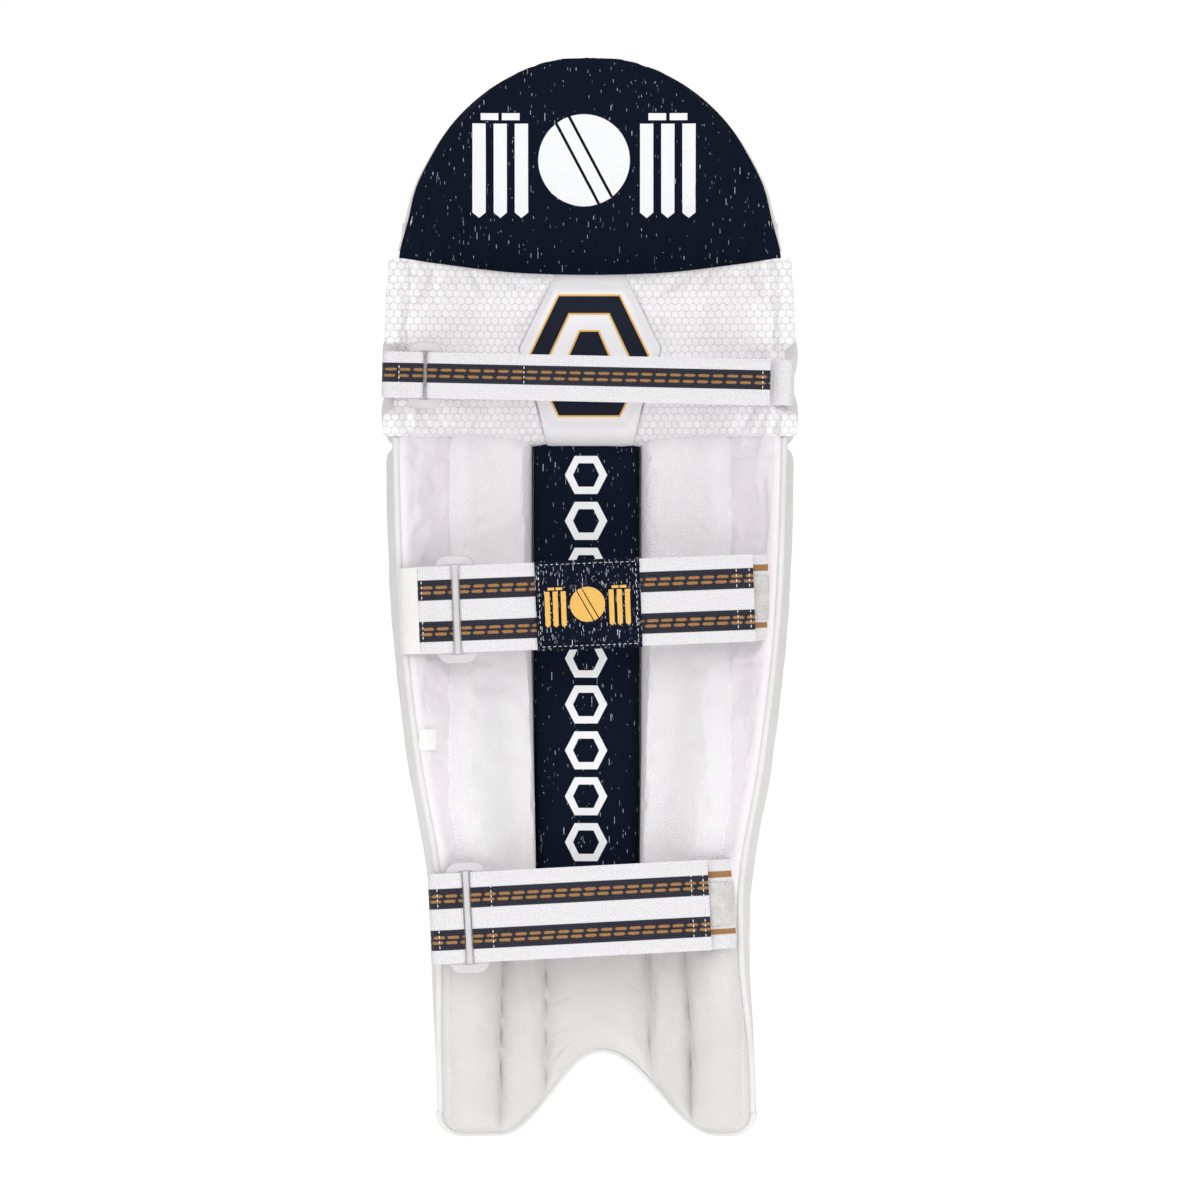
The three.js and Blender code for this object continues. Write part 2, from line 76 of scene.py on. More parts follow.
board = {
    "frontY": 50, "flare": 14, "lean": 15, "footShift": 4,
    "z": (0, 60, 110, 165, 240, 330, 437, 500, 556, 620, 680),
    "flat": (40, 38, 32, 29, 32, 38, 42, 44, 46, 48, 50),
    "bend": (70, 66, 54, 48, 52, 56, 60, 62, 64, 66, 70),
    "angle": (26, 32, 43, 50, 52, 52, 51, 50, 46, 39, 32),
    "edge": (97, 96.5, 94, 94.5, 107, 117, 121, 121, 118, 112, 104),
}
kneeBottom, kneeTop = 437, 553
skinLevel = 3.9   # the first level clear of the board
arch = {"x": 8, "rise": 53, "left": 66, "right": 73, "corner": 14}

@functools.lru_cache(maxsize=None)
def section(tenths):   # flat half width, bend radius, wing angle and edge half width, at a height in 0.1 mm
    heights = board["z"]
    z = clamp(tenths / 10, heights[0], heights[-1])
    i = max(0, next(k for k, height in enumerate(heights) if height >= z) - 1)
    span = heights[i + 1] - heights[i]
    t = (z - heights[i]) / span
    found = []
    for name in ("flat", "bend", "angle", "edge"):
        values = board[name]
        slopes = []
        for k in (i, i + 1):
            before, after = max(k - 1, 0), min(k + 1, len(heights) - 1)
            slopes.append((values[after] - values[before]) / (heights[after] - heights[before]))
        turn = t * (1 - t) * span * ((1 - t) * slopes[0] - t * slopes[1])
        found.append(lerp(values[i], values[i + 1], t * t * (3 - 2 * t)) + turn)
    return found[0], found[1], math.radians(found[2]), found[3]

def frontY(z):
    flare = board["flare"] * max(0, 1 - z / 130) ** 2
    return board["frontY"] + flare - board["lean"] * max(0, (z - 530) / 150) ** 2

def middleX(z):
    return board["footShift"] * (1 - smooth(z, 20, 130))

def onBoard(across, z, level=0.0):
    flat, bend, wing, _ = section(round(z * 10))
    distance = abs(across)
    angle = clamp((distance - flat) / bend, 0, wing)
    straight = max(0, distance - flat - bend * wing)
    x = min(distance, flat) + bend * math.sin(angle) + straight * math.cos(angle)
    y = -bend * (1 - math.cos(angle)) - straight * math.sin(angle)
    side = -1 if across < 0 else 1
    x = middleX(z) + side * (x + level * math.sin(angle))
    return Vector((x, frontY(z) + y + level * math.cos(angle), z))

def acrossTo(x, z):   # how far across the board its curve reaches this x
    flat, bend, wing, _ = section(round(z * 10))
    sideways = abs(x) - flat
    if sideways <= 0:
        return x
    if sideways < bend * math.sin(wing):
        distance = flat + bend * math.asin(sideways / bend)
    else:
        distance = flat + bend * wing + (sideways - bend * math.sin(wing)) / math.cos(wing)
    return math.copysign(distance, x)

def edgeX(z):
    return section(round(z * 10))[3]

def halfWidth(z):
    return acrossTo(edgeX(z), z)

def leftEdge(z):
    return -halfWidth(z)

def bottomZ(x):   # the arch over the shoe and the rounded feet
    reach = arch["left"] if x < arch["x"] else arch["right"]
    share = min(1, abs(x - arch["x"]) / reach)
    archZ = arch["rise"] * 0.5 * (1 + math.cos(math.pi * share))
    inside = clamp(arch["corner"] - (board["edge"][0] - abs(x - board["footShift"])), 0, arch["corner"])
    return archZ + arch["corner"] - math.sqrt(arch["corner"] ** 2 - inside ** 2)

# ---- materials: shared effects ----

def put(tree, kind, *sockets, **settings):   # a node with its settings and its first inputs
    node = tree.nodes.new("ShaderNode" + kind)
    for name, value in settings.items():
        setattr(node, name, value)
    for i, value in enumerate(sockets):
        if isinstance(value, bpy.types.NodeSocket):
            tree.links.new(value, node.inputs[i])
        elif value is not None:
            node.inputs[i].default_value = value
    return node

def calc(tree, operation, *values):
    return put(tree, "Math", *values, operation=operation).outputs[0]

def vecCalc(tree, operation, *values):
    node = put(tree, "VectorMath", *values, operation=operation)
    return node.outputs["Value"] if operation in ("DOT_PRODUCT", "LENGTH") else node.outputs[0]

def ramp(tree, value, start, end, low=0.0, high=1.0):   # a smooth step between two values
    node = put(tree, "MapRange", value, start, end, low, high, interpolation_type="SMOOTHSTEP")
    return node.outputs[0]

def split(tree, vector):
    return put(tree, "SeparateXYZ", vector).outputs

def mix(tree, factor, a, b):
    node = put(tree, "Mix", data_type="RGBA")
    for i, value in ((0, factor), (6, a), (7, b)):
        if isinstance(value, bpy.types.NodeSocket):
            tree.links.new(value, node.inputs[i])
        else:
            node.inputs[i].default_value = value
    return node.outputs[2]

def effect(name, inputs, outputs):   # an empty node group with named sockets
    tree = bpy.data.node_groups.new(name, "ShaderNodeTree")
    for label, kind, value in inputs:
        socket = tree.interface.new_socket(label, in_out="INPUT", socket_type="NodeSocket" + kind)
        if value is not None:
            socket.default_value = value
    for label in outputs:
        tree.interface.new_socket(label, in_out="OUTPUT", socket_type="NodeSocketFloat")
    start, end = tree.nodes.new("NodeGroupInput"), tree.nodes.new("NodeGroupOutput")
    return tree, start.outputs, end.inputs

def makeGrain():   # the pebbled skin of coated leather, its creases and its faint unevenness
    tree, given, result = effect("leatherGrain", [("Vector", "Vector", None), ("Size mm", "Float", 1.0)],
                                 ["Height", "Tone"])
    scale = calc(tree, "DIVIDE", 1 / mm, given["Size mm"])
    pebbles = put(tree, "TexVoronoi", given["Vector"], None, scale, feature="DISTANCE_TO_EDGE")
    fine = put(tree, "TexNoise", given["Vector"], None, calc(tree, "MULTIPLY", scale, 2.5), 3.0)
    broad = put(tree, "TexNoise", given["Vector"], None, 28.0, 4.0)
    dome = ramp(tree, pebbles.outputs["Distance"], 0.0, 0.28)
    height = calc(tree, "ADD", dome, calc(tree, "MULTIPLY", fine.outputs[0], 0.35))
    tree.links.new(height, result["Height"])
    tone = calc(tree, "ADD", calc(tree, "MULTIPLY", dome, 0.35), broad.outputs[0])
    tree.links.new(tone, result["Tone"])
    return tree

def makeWeave():   # threads passing over and under one another
    tree, given, result = effect("plainWeave", [("Vector", "Vector", None), ("Pitch mm", "Float", 1.0)],
                                 ["Height", "Tone"])
    x, y, _ = split(tree, given["Vector"])
    turn = calc(tree, "DIVIDE", math.pi, given["Pitch mm"])
    across, along = calc(tree, "MULTIPLY", x, turn), calc(tree, "MULTIPLY", y, turn)
    warp, weft = (calc(tree, "ABSOLUTE", calc(tree, "SINE", angle)) for angle in (across, along))
    over = calc(tree, "MULTIPLY", calc(tree, "COSINE", across), calc(tree, "COSINE", along))
    height = calc(tree, "ADD", calc(tree, "MULTIPLY", warp, weft), calc(tree, "MULTIPLY", over, 0.25))
    tree.links.new(height, result["Height"])
    loose = put(tree, "TexNoise", given["Vector"], None, 0.6, 3.0)
    patches = calc(tree, "MULTIPLY", loose.outputs[0], 0.6)
    tone = calc(tree, "ADD", calc(tree, "MULTIPLY", height, 0.4), patches)
    tree.links.new(tone, result["Tone"])
    return tree

def makeKnit():   # slanting rows of small holes between raised stitches
    tree, given, result = effect("diamondKnit", [("Vector", "Vector", None), ("Pitch mm", "Float", 2.0)],
                                 ["Height", "Hole"])
    x, y, _ = split(tree, given["Vector"])
    turn = calc(tree, "DIVIDE", math.pi, given["Pitch mm"])
    down = calc(tree, "MULTIPLY", y, 0.72)
    rising = calc(tree, "SINE", calc(tree, "MULTIPLY", calc(tree, "ADD", x, down), turn))
    falling = calc(tree, "SINE", calc(tree, "MULTIPLY", calc(tree, "SUBTRACT", x, down), turn))
    lattice = calc(tree, "MULTIPLY", calc(tree, "ABSOLUTE", rising), calc(tree, "ABSOLUTE", falling))
    tree.links.new(calc(tree, "POWER", lattice, 0.6), result["Height"])
    tree.links.new(ramp(tree, lattice, 0.16, 0.02), result["Hole"])
    return tree

def makeHoneycomb():   # hexagon cells: the joint between them, and a random tone for each
    tree, given, result = effect("honeycomb", [("Vector", "Vector", None), ("Cell mm", "Float", 5.5)],
                                 ["Joint", "Cell"])
    lattice = (1.0, math.sqrt(3), 1.0)
    half = (0.5, math.sqrt(3) / 2, 0.0)
    far = vecCalc(tree, "ADD", given["Vector"], (2000.0, 2000.0, 0.0))
    size = put(tree, "CombineXYZ", given["Cell mm"], given["Cell mm"], given["Cell mm"]).outputs[0]
    place = vecCalc(tree, "DIVIDE", far, size)
    near = []
    for offset in ((0.0, 0.0, 0.0), half):
        cell = vecCalc(tree, "MODULO", vecCalc(tree, "ADD", place, offset), lattice)
        near.append(vecCalc(tree, "MULTIPLY", vecCalc(tree, "SUBTRACT", cell, half), (1.0, 1.0, 0.0)))
    nearer = calc(tree, "LESS_THAN", vecCalc(tree, "LENGTH", near[0]), vecCalc(tree, "LENGTH", near[1]))
    chosen = put(tree, "Mix", data_type="VECTOR")
    tree.links.new(nearer, chosen.inputs[0])
    tree.links.new(near[1], chosen.inputs[4])
    tree.links.new(near[0], chosen.inputs[5])
    local = chosen.outputs[1]
    apart = vecCalc(tree, "ABSOLUTE", local)
    slanted = vecCalc(tree, "DOT_PRODUCT", apart, half)
    reach = calc(tree, "MAXIMUM", slanted, split(tree, apart)[0])
    tree.links.new(ramp(tree, reach, 0.43, 0.475), result["Joint"])
    centre = vecCalc(tree, "SUBTRACT", place, local)
    snapped = vecCalc(tree, "SNAP", vecCalc(tree, "ADD", centre, (0.1, 0.1, 0.0)), (0.5, 0.25, 1.0))
    tree.links.new(put(tree, "TexWhiteNoise", snapped).outputs[0], result["Cell"])
    return tree

fleckCells = ((0.9, 4.0, 0.0), (1.1, 7.0, 31.0), (0.7, 2.9, 67.0))   # width, length and shift

def makeFlecks():   # short upright dashes scattered at random
    tree, given, result = effect("flecks", [("Vector", "Vector", None), ("Share", "Float", 0.1)], ["Fleck"])
    masks = []
    for width, length, shift in fleckCells:
        moved = vecCalc(tree, "ADD", given["Vector"], (1000.0 + shift, 1000.0 + shift, 0.0))
        x, y, _ = split(tree, moved)
        column = calc(tree, "FLOOR", calc(tree, "DIVIDE", x, width))
        slide = put(tree, "TexWhiteNoise", put(tree, "CombineXYZ", column, shift).outputs[0]).outputs[0]
        along = calc(tree, "ADD", calc(tree, "DIVIDE", y, length), slide)
        cell = put(tree, "CombineXYZ", column, calc(tree, "FLOOR", along), shift).outputs[0]
        random = put(tree, "TexWhiteNoise", cell)
        chosen = calc(tree, "LESS_THAN", random.outputs[0], given["Share"])
        red, green, blue = split(tree, random.outputs[1])
        inX = calc(tree, "SUBTRACT", calc(tree, "FRACT", calc(tree, "DIVIDE", x, width)),
                   calc(tree, "ADD", 0.3, calc(tree, "MULTIPLY", red, 0.4)))
        inY = calc(tree, "SUBTRACT", calc(tree, "FRACT", along), 0.5)
        thin = ramp(tree, calc(tree, "ABSOLUTE", inX), 0.25, 0.12)
        short = calc(tree, "ADD", 0.08, calc(tree, "MULTIPLY", green, 0.27))
        ends = calc(tree, "LESS_THAN", calc(tree, "ABSOLUTE", inY), short)
        bright = ramp(tree, blue, 0.0, 0.9, 0.15, 0.8)
        dash = calc(tree, "MULTIPLY", calc(tree, "MULTIPLY", thin, ends), chosen)
        masks.append(calc(tree, "MULTIPLY", dash, bright))
    both = calc(tree, "MAXIMUM", masks[0], masks[1])
    tree.links.new(calc(tree, "MAXIMUM", both, masks[2]), result["Fleck"])
    return tree

def makeDashes():   # a row of woven dashes along U, at a distance V from its line
    tree, given, result = effect("wovenDashes", [
        ("Along mm", "Float", 0.0), ("From row mm", "Float", 0.0), ("Period mm", "Float", 9.0),
        ("Share", "Float", 0.8), ("Thick mm", "Float", 2.3)], ["Dash"])
    along = calc(tree, "ADD", given["Along mm"], 900.0)
    turn = calc(tree, "FRACT", calc(tree, "DIVIDE", along, given["Period mm"]))
    middle = calc(tree, "ABSOLUTE", calc(tree, "SUBTRACT", turn, 0.5))
    reach = calc(tree, "DIVIDE", middle, calc(tree, "MULTIPLY", given["Share"], 0.5))
    left = calc(tree, "SUBTRACT", 1.0, calc(tree, "POWER", reach, 6.0))
    bulge = calc(tree, "SQRT", calc(tree, "MAXIMUM", left, 0.0))
    place = put(tree, "CombineXYZ", given["Along mm"], given["From row mm"]).outputs[0]
    wobble = put(tree, "TexNoise", place, None, 1.1, 2.0).outputs[0]
    fray = calc(tree, "MULTIPLY", calc(tree, "SUBTRACT", wobble, 0.5), 1.1)
    away = calc(tree, "ABSOLUTE", calc(tree, "ADD", given["From row mm"], fray))
    half = calc(tree, "MULTIPLY", given["Thick mm"], 0.5)
    room = calc(tree, "SUBTRACT", calc(tree, "MULTIPLY", half, bulge), away)
    tree.links.new(ramp(tree, room, -0.15, 0.15), result["Dash"])
    return tree

effects = {"grain": makeGrain(), "weave": makeWeave(), "knit": makeKnit(), "honeycomb": makeHoneycomb(),
           "flecks": makeFlecks(), "dashes": makeDashes()}
print("effects ready")

# ---- materials ----

def srgb(red, green, blue):   # a colour from 0 to 255 as the shader's linear value
    def linear(value):
        share = value / 255
        return share / 12.92 if share <= 0.04045 else ((share + 0.055) / 1.055) ** 2.4
    return linear(red), linear(green), linear(blue), 1.0

def newMaterial(name, **finish):   # Principled, with its even values on its own sockets
    material = bpy.data.materials.new(name)
    material.use_nodes = True
    tree = material.node_tree
    shader = tree.nodes["Principled BSDF"]
    sockets = {"roughness": "Roughness", "sheen": "Sheen Weight", "sheenRoughness": "Sheen Roughness",
               "coat": "Coat Weight", "coatRoughness": "Coat Roughness", "ior": "IOR",
               "transmission": "Transmission Weight", "specular": "Specular IOR Level",
               "subsurface": "Subsurface Weight"}
    for label, value in finish.items():
        shader.inputs[sockets[label]].default_value = value
    return material, tree, shader

def surface(tree, shader, colour, roughness, height, depth):   # depth of the bump in millimetres
    tree.links.new(colour, shader.inputs["Base Color"])
    if roughness is not None:
        tree.links.new(roughness, shader.inputs["Roughness"])
    bump = put(tree, "Bump", 1.0, depth * mm)
    tree.links.new(height, bump.inputs["Height"])
    tree.links.new(bump.outputs[0], shader.inputs["Normal"])

def use(tree, name, vector, **values):   # place a shared effect
    node = tree.nodes.new("ShaderNodeGroup")
    node.node_tree = effects[name]
    tree.links.new(vector, node.inputs[0])
    for label, value in values.items():
        socket = node.inputs[label]
        if isinstance(value, bpy.types.NodeSocket):
            tree.links.new(value, socket)
        else:
            socket.default_value = value
    return node.outputs

def cutPlace(tree):   # millimetres on the cloth as it was cut
    return put(tree, "UVMap", uv_map="cut").outputs[0]

def solidPlace(tree):   # metres in the frame
    return put(tree, "TexCoord").outputs["Object"]

def frontPlace(tree):   # millimetres in the frame, as the leg side is seen
    x, y, z = split(tree, vecCalc(tree, "MULTIPLY", solidPlace(tree), (1000.0, 1000.0, 1000.0)))
    return put(tree, "CombineXYZ", x, z, y).outputs[0]

def leather(name, light, dark, size=0.9, depth=0.12, **finish):
    material, tree, shader = newMaterial(name, **finish)
    grain = use(tree, "grain", solidPlace(tree), **{"Size mm": size})
    colour = mix(tree, ramp(tree, grain["Tone"], 0.35, 0.95), dark, light)
    rough = ramp(tree, grain["Tone"], 0.3, 1.0, 0.56, 0.42)
    surface(tree, shader, colour, rough, grain["Height"], depth)
    return material

def cloth(name, light, dark, pitch=0.8, depth=0.12, place=cutPlace, **finish):
    material, tree, shader = newMaterial(name, roughness=0.85, **finish)
    weave = use(tree, "weave", place(tree), **{"Pitch mm": pitch})
    colour = mix(tree, ramp(tree, weave["Tone"], 0.15, 0.75), dark, light)
    surface(tree, shader, colour, None, weave["Height"], depth)
    return material

def makeHoneycombMesh():
    material, tree, shader = newMaterial("honeycombMesh", roughness=0.72, sheen=0.15)
    place = cutPlace(tree)
    comb = use(tree, "honeycomb", place, **{"Cell mm": 5.0})
    weave = use(tree, "weave", place, **{"Pitch mm": 0.45})
    cell = mix(tree, comb["Cell"], srgb(242, 240, 241), srgb(248, 247, 248))
    dusty = mix(tree, ramp(tree, weave["Tone"], 0.2, 0.8, 0.0, 0.4), cell, srgb(236, 233, 235))
    worn = put(tree, "TexNoise", place, None, 0.12, 3.0).outputs[0]
    faint = calc(tree, "MULTIPLY", comb["Joint"], ramp(tree, worn, 0.3, 0.7, 0.5, 0.95))
    colour = mix(tree, faint, dusty, srgb(208, 205, 207))
    rise = calc(tree, "SUBTRACT", calc(tree, "MULTIPLY", weave["Height"], 0.15), comb["Joint"])
    surface(tree, shader, colour, None, rise, 0.16)
    return material

def makeKnitMesh():
    material, tree, shader = newMaterial("knitMesh", roughness=0.9, sheen=0.2)
    place = cutPlace(tree)
    knit = use(tree, "knit", place, **{"Pitch mm": 1.8})
    loose = put(tree, "TexNoise", place, None, 0.09, 3.0).outputs[0]
    body = mix(tree, loose, srgb(244, 242, 244), srgb(251, 250, 251))
    colour = mix(tree, calc(tree, "MULTIPLY", knit["Hole"], 0.65), body, srgb(200, 197, 201))
    surface(tree, shader, colour, None, knit["Height"], 0.35)
    return material

def makeFleckedNavy(name, share, light):
    material, tree, shader = newMaterial(name, roughness=0.92, specular=0.1)
    place = cutPlace(tree)
    fleck = use(tree, "flecks", place, **{"Share": share})
    weave = use(tree, "weave", place, **{"Pitch mm": 0.6})
    tone = mix(tree, ramp(tree, weave["Tone"], 0.1, 0.8), srgb(6, 12, 27), srgb(17, 25, 44))
    colour = mix(tree, fleck["Fleck"], tone, light)
    surface(tree, shader, colour, None, weave["Height"], 0.1)
    return material

def makeWebbing(name, width, bands, rows, dash, solid=()):
    # bands are navy, rows are of gold dashes and solid bands are gold, all as shares of the width from the
    # top edge; dash is period, share and thickness
    material, tree, shader = newMaterial(name, roughness=0.85, sheen=0.1)
    place = cutPlace(tree)
    x, y, _ = split(tree, place)
    share = calc(tree, "SUBTRACT", 0.5, calc(tree, "DIVIDE", y, width))
    weave = use(tree, "weave", place, **{"Pitch mm": 1.05})
    colour = mix(tree, ramp(tree, weave["Tone"], 0.1, 0.7), srgb(221, 219, 222), srgb(242, 240, 243))
    rib = use(tree, "weave", place, **{"Pitch mm": 1.5})
    navy = mix(tree, ramp(tree, rib["Height"], 0.1, 0.9), srgb(6, 10, 22), srgb(42, 44, 62))
    # the gold yarn's slanting stripes are a painted highlight and painted shade on its twisted plies: bright
    # (204,152,94) where light catches a ply, dark (108,70,34) between plies
    slant = calc(tree, "ADD", x, calc(tree, "MULTIPLY", y, 1.6))
    twist = calc(tree, "SINE", calc(tree, "MULTIPLY", slant, 5.0))
    gold = mix(tree, ramp(tree, twist, -0.9, 0.9), srgb(108, 70, 34), srgb(204, 152, 94))
    soft = 0.006
    def inside(start, end):
        return calc(tree, "MULTIPLY", ramp(tree, share, start - soft, start + soft),
                    ramp(tree, share, end + soft, end - soft))
    for start, end in bands:
        colour = mix(tree, inside(start, end), colour, navy)
    for row, shift in rows:
        away = calc(tree, "MULTIPLY", calc(tree, "SUBTRACT", share, row), width)
        moved = calc(tree, "ADD", x, shift)
        mask = tree.nodes.new("ShaderNodeGroup")
        mask.node_tree = effects["dashes"]
        for label, value in (("Along mm", moved), ("From row mm", away)):
            tree.links.new(value, mask.inputs[label])
        for label, value in zip(("Period mm", "Share", "Thick mm"), dash):
            mask.inputs[label].default_value = value
        colour = mix(tree, mask.outputs["Dash"], colour, gold)
    for start, end in solid:
        colour = mix(tree, inside(start, end), colour, gold)
    surface(tree, shader, colour, None, rib["Height"], 0.4)
    return material

def makeRingPlastic():
    material, tree, shader = newMaterial("ringPlastic", transmission=0.1, ior=1.46)
    cloudy = put(tree, "TexNoise", solidPlace(tree), None, 90.0, 3.0).outputs[0]
    colour = mix(tree, cloudy, srgb(204, 202, 203), srgb(224, 222, 223))
    surface(tree, shader, colour, ramp(tree, cloudy, 0.3, 0.7, 0.38, 0.5), cloudy, 0.1)
    return material

def makePile():
    material, tree, shader = newMaterial("greyPile", roughness=1.0, sheen=0.4)
    place = solidPlace(tree)
    tufts = put(tree, "TexNoise", place, None, 1400.0, 2.0).outputs[0]
    patches = put(tree, "TexNoise", place, None, 110.0, 3.0).outputs[0]
    shade = calc(tree, "ADD", calc(tree, "MULTIPLY", tufts, 0.6), calc(tree, "MULTIPLY", patches, 0.4))
    colour = mix(tree, ramp(tree, shade, 0.35, 0.65), srgb(190, 189, 186), srgb(224, 223, 220))
    surface(tree, shader, colour, None, tufts, 0.6)
    return material

def makeThread(name, light, dark):
    material, tree, shader = newMaterial(name, roughness=0.7)
    twist = put(tree, "TexNoise", solidPlace(tree), None, 2200.0, 2.0).outputs[0]
    surface(tree, shader, mix(tree, twist, dark, light), None, twist, 0.1)
    return material

def makeCane():
    material, tree, shader = newMaterial("cane", coat=0.2, coatRoughness=0.3)
    long = vecCalc(tree, "MULTIPLY", solidPlace(tree), (1.0, 1.0, 0.04))
    grain = put(tree, "TexNoise", long, None, 420.0, 5.0).outputs[0]
    colour = mix(tree, ramp(tree, grain, 0.3, 0.7), srgb(171, 127, 72), srgb(219, 184, 124))
    surface(tree, shader, colour, ramp(tree, grain, 0.3, 0.7, 0.6, 0.4), grain, 0.2)
    return material

def makeFoam():
    material, tree, shader = newMaterial("foam", roughness=0.95)
    cells = put(tree, "TexVoronoi", solidPlace(tree), None, 1300.0)
    tone = ramp(tree, cells.outputs["Distance"], 0.0, 0.8)
    surface(tree, shader, mix(tree, tone, srgb(222, 213, 196), srgb(244, 238, 225)), None, tone, 0.3)
    return material

def makePaper():   # the white floor, a little lit from within so that it has no grey shade
    material, tree, shader = newMaterial("paleSweep", roughness=0.9)
    fibre = put(tree, "TexNoise", solidPlace(tree), None, 60.0, 3.0).outputs[0]
    surface(tree, shader, mix(tree, fibre, srgb(247, 247, 247), srgb(250, 250, 250)), None, fibre, 0.02)
    shader.inputs["Emission Color"].default_value = (1, 1, 1, 1)
    shader.inputs["Emission Strength"].default_value = 0.45
    return material

wideBands = ((0.157, 0.39), (0.63, 0.863))
narrowBands = ((0.24, 0.66),)
wideRows = tuple((sum(band) / 2 + offset, shift) for band in wideBands
                 for offset, shift in ((-0.03, 0), (0.03, 1.2)))
narrowRows = ((0.382, 0.0), (0.518, 0.9))
looks = {
    "puLeather": leather("puLeather", srgb(243, 241, 238), srgb(233, 231, 227)),
    "wingLeather": leather("wingLeather", srgb(231, 230, 229), srgb(220, 219, 218), coat=0.05),
    "cupLeather": leather("cupLeather", srgb(247, 246, 248), srgb(239, 237, 240), size=0.5, depth=0.05),
    "instepLeather": leather("instepLeather", srgb(222, 221, 219), srgb(211, 210, 208)),
    "pipingLeather": leather("pipingLeather", srgb(234, 233, 232), srgb(220, 219, 218), size=0.7, depth=0.06),
    "lilacLining": cloth("lilacLining", srgb(242, 237, 241), srgb(232, 226, 231), 0.7, 0.06, sheen=0.1),
    "honeycombMesh": makeHoneycombMesh(),
    "knitMesh": makeKnitMesh(),
    "navyFleck": makeFleckedNavy("navyFleck", 0.021, srgb(196, 209, 222)),
    "badgeCloth": makeFleckedNavy("badgeCloth", 0.13, srgb(222, 225, 230)),
    "webbingWide": makeWebbing("webbingWide", 55, wideBands, wideRows, (9.0, 0.8, 1.9)),
    "webbingNarrow": makeWebbing("webbingNarrow", 29, narrowBands, narrowRows, (9.0, 0.78, 1.75)),
    "underWide": makeWebbing("underWide", 55, (), (), (9.0, 0.8, 2.3), ((0.115, 0.19), (0.785, 0.85))),
    "underNarrow": makeWebbing("underNarrow", 29, (), (), (9.0, 0.8, 1.5)),
    "ringPlastic": makeRingPlastic(),
    "greyPile": makePile(),
    "labelSatin": cloth("labelSatin", srgb(250, 249, 248), srgb(238, 237, 235), 0.5, 0.04),
    "whiteThread": makeThread("whiteThread", srgb(250, 250, 250), srgb(226, 226, 226)),
    "printWhite": cloth("printWhite", srgb(247, 248, 249), srgb(234, 236, 238), 0.6, 0.05, frontPlace),
    "printNavy": cloth("printNavy", srgb(19, 27, 47), srgb(11, 17, 33), 0.6, 0.04, frontPlace, specular=0.3),
    "printGold": cloth("printGold", srgb(240, 192, 102), srgb(222, 172, 82), 0.6, 0.04, frontPlace),
    "boardCloth": cloth("boardCloth", srgb(222, 220, 214), srgb(203, 200, 192), 1.2, 0.2, frontPlace),
    "cane": makeCane(),
    "foam": makeFoam(),
}
print("materials ready:", len(looks))

# ---- building ----

hands = (("left", -1), ("right", 1))

def handed(side, outer, inner):   # outer and inner put in order from left to right, and also back again
    return (outer, inner) if side < 0 else (inner, outer)

skins = {}   # surfaces that prints and stitches are dropped onto

def level(x, y, z):   # flat place (across, level, z) to the frame
    return onBoard(x, z, y)

def flatGrid(shape):   # x is across, y is the level and z is up, before the piece is laid on the board
    columns, rows = shape["cells"]
    left, right, bottom, top = (shape[side] for side in ("left", "right", "bottom", "top"))
    bm = bmesh.new()
    bmesh.ops.create_grid(bm, x_segments=columns, y_segments=rows, size=0.5)
    spread = shape.get("spread", 0.0)   # 1 crowds the columns and rows at the sides
    for vert in bm.verts:
        u, v = (lerp(t + 0.5, 0.5 + 0.5 * math.sin(math.pi * t), spread) for t in vert.co.xy)
        z = lerp(at(bottom, 0), at(top, 0), v)
        for _ in range(3):
            across = lerp(at(left, z), at(right, z), u)
            x = onBoard(across, z).x
            z = lerp(at(bottom, x), at(top, x), v)
        vert.co = (lerp(at(left, z), at(right, z), u), 0, z)
    return bm

def sides(shape, across, z):   # how far a place is from the left, right, bottom and top of its piece
    x = onBoard(across, z).x
    return (across - at(shape["left"], z), at(shape["right"], z) - across,
            z - at(shape["bottom"], x), at(shape["top"], x) - z)

def raiseGrid(bm, shape, height):
    for vert in bm.verts:
        across, _, z = vert.co
        vert.co.y = shape["side"] * (shape["base"] + height(across, z, sides(shape, across, z)))

coverCloth = {"quality": 6, "mass": 0.15, "stiffness": 8.0, "shear": 4.8, "bending": 0.02, "damping": 4,
              "frames": 22}

def pinnedWithin(reach):   # the stitched-down band along a piece's sides
    return lambda x, z, near: 1.0 if min(near) < reach else 0.0

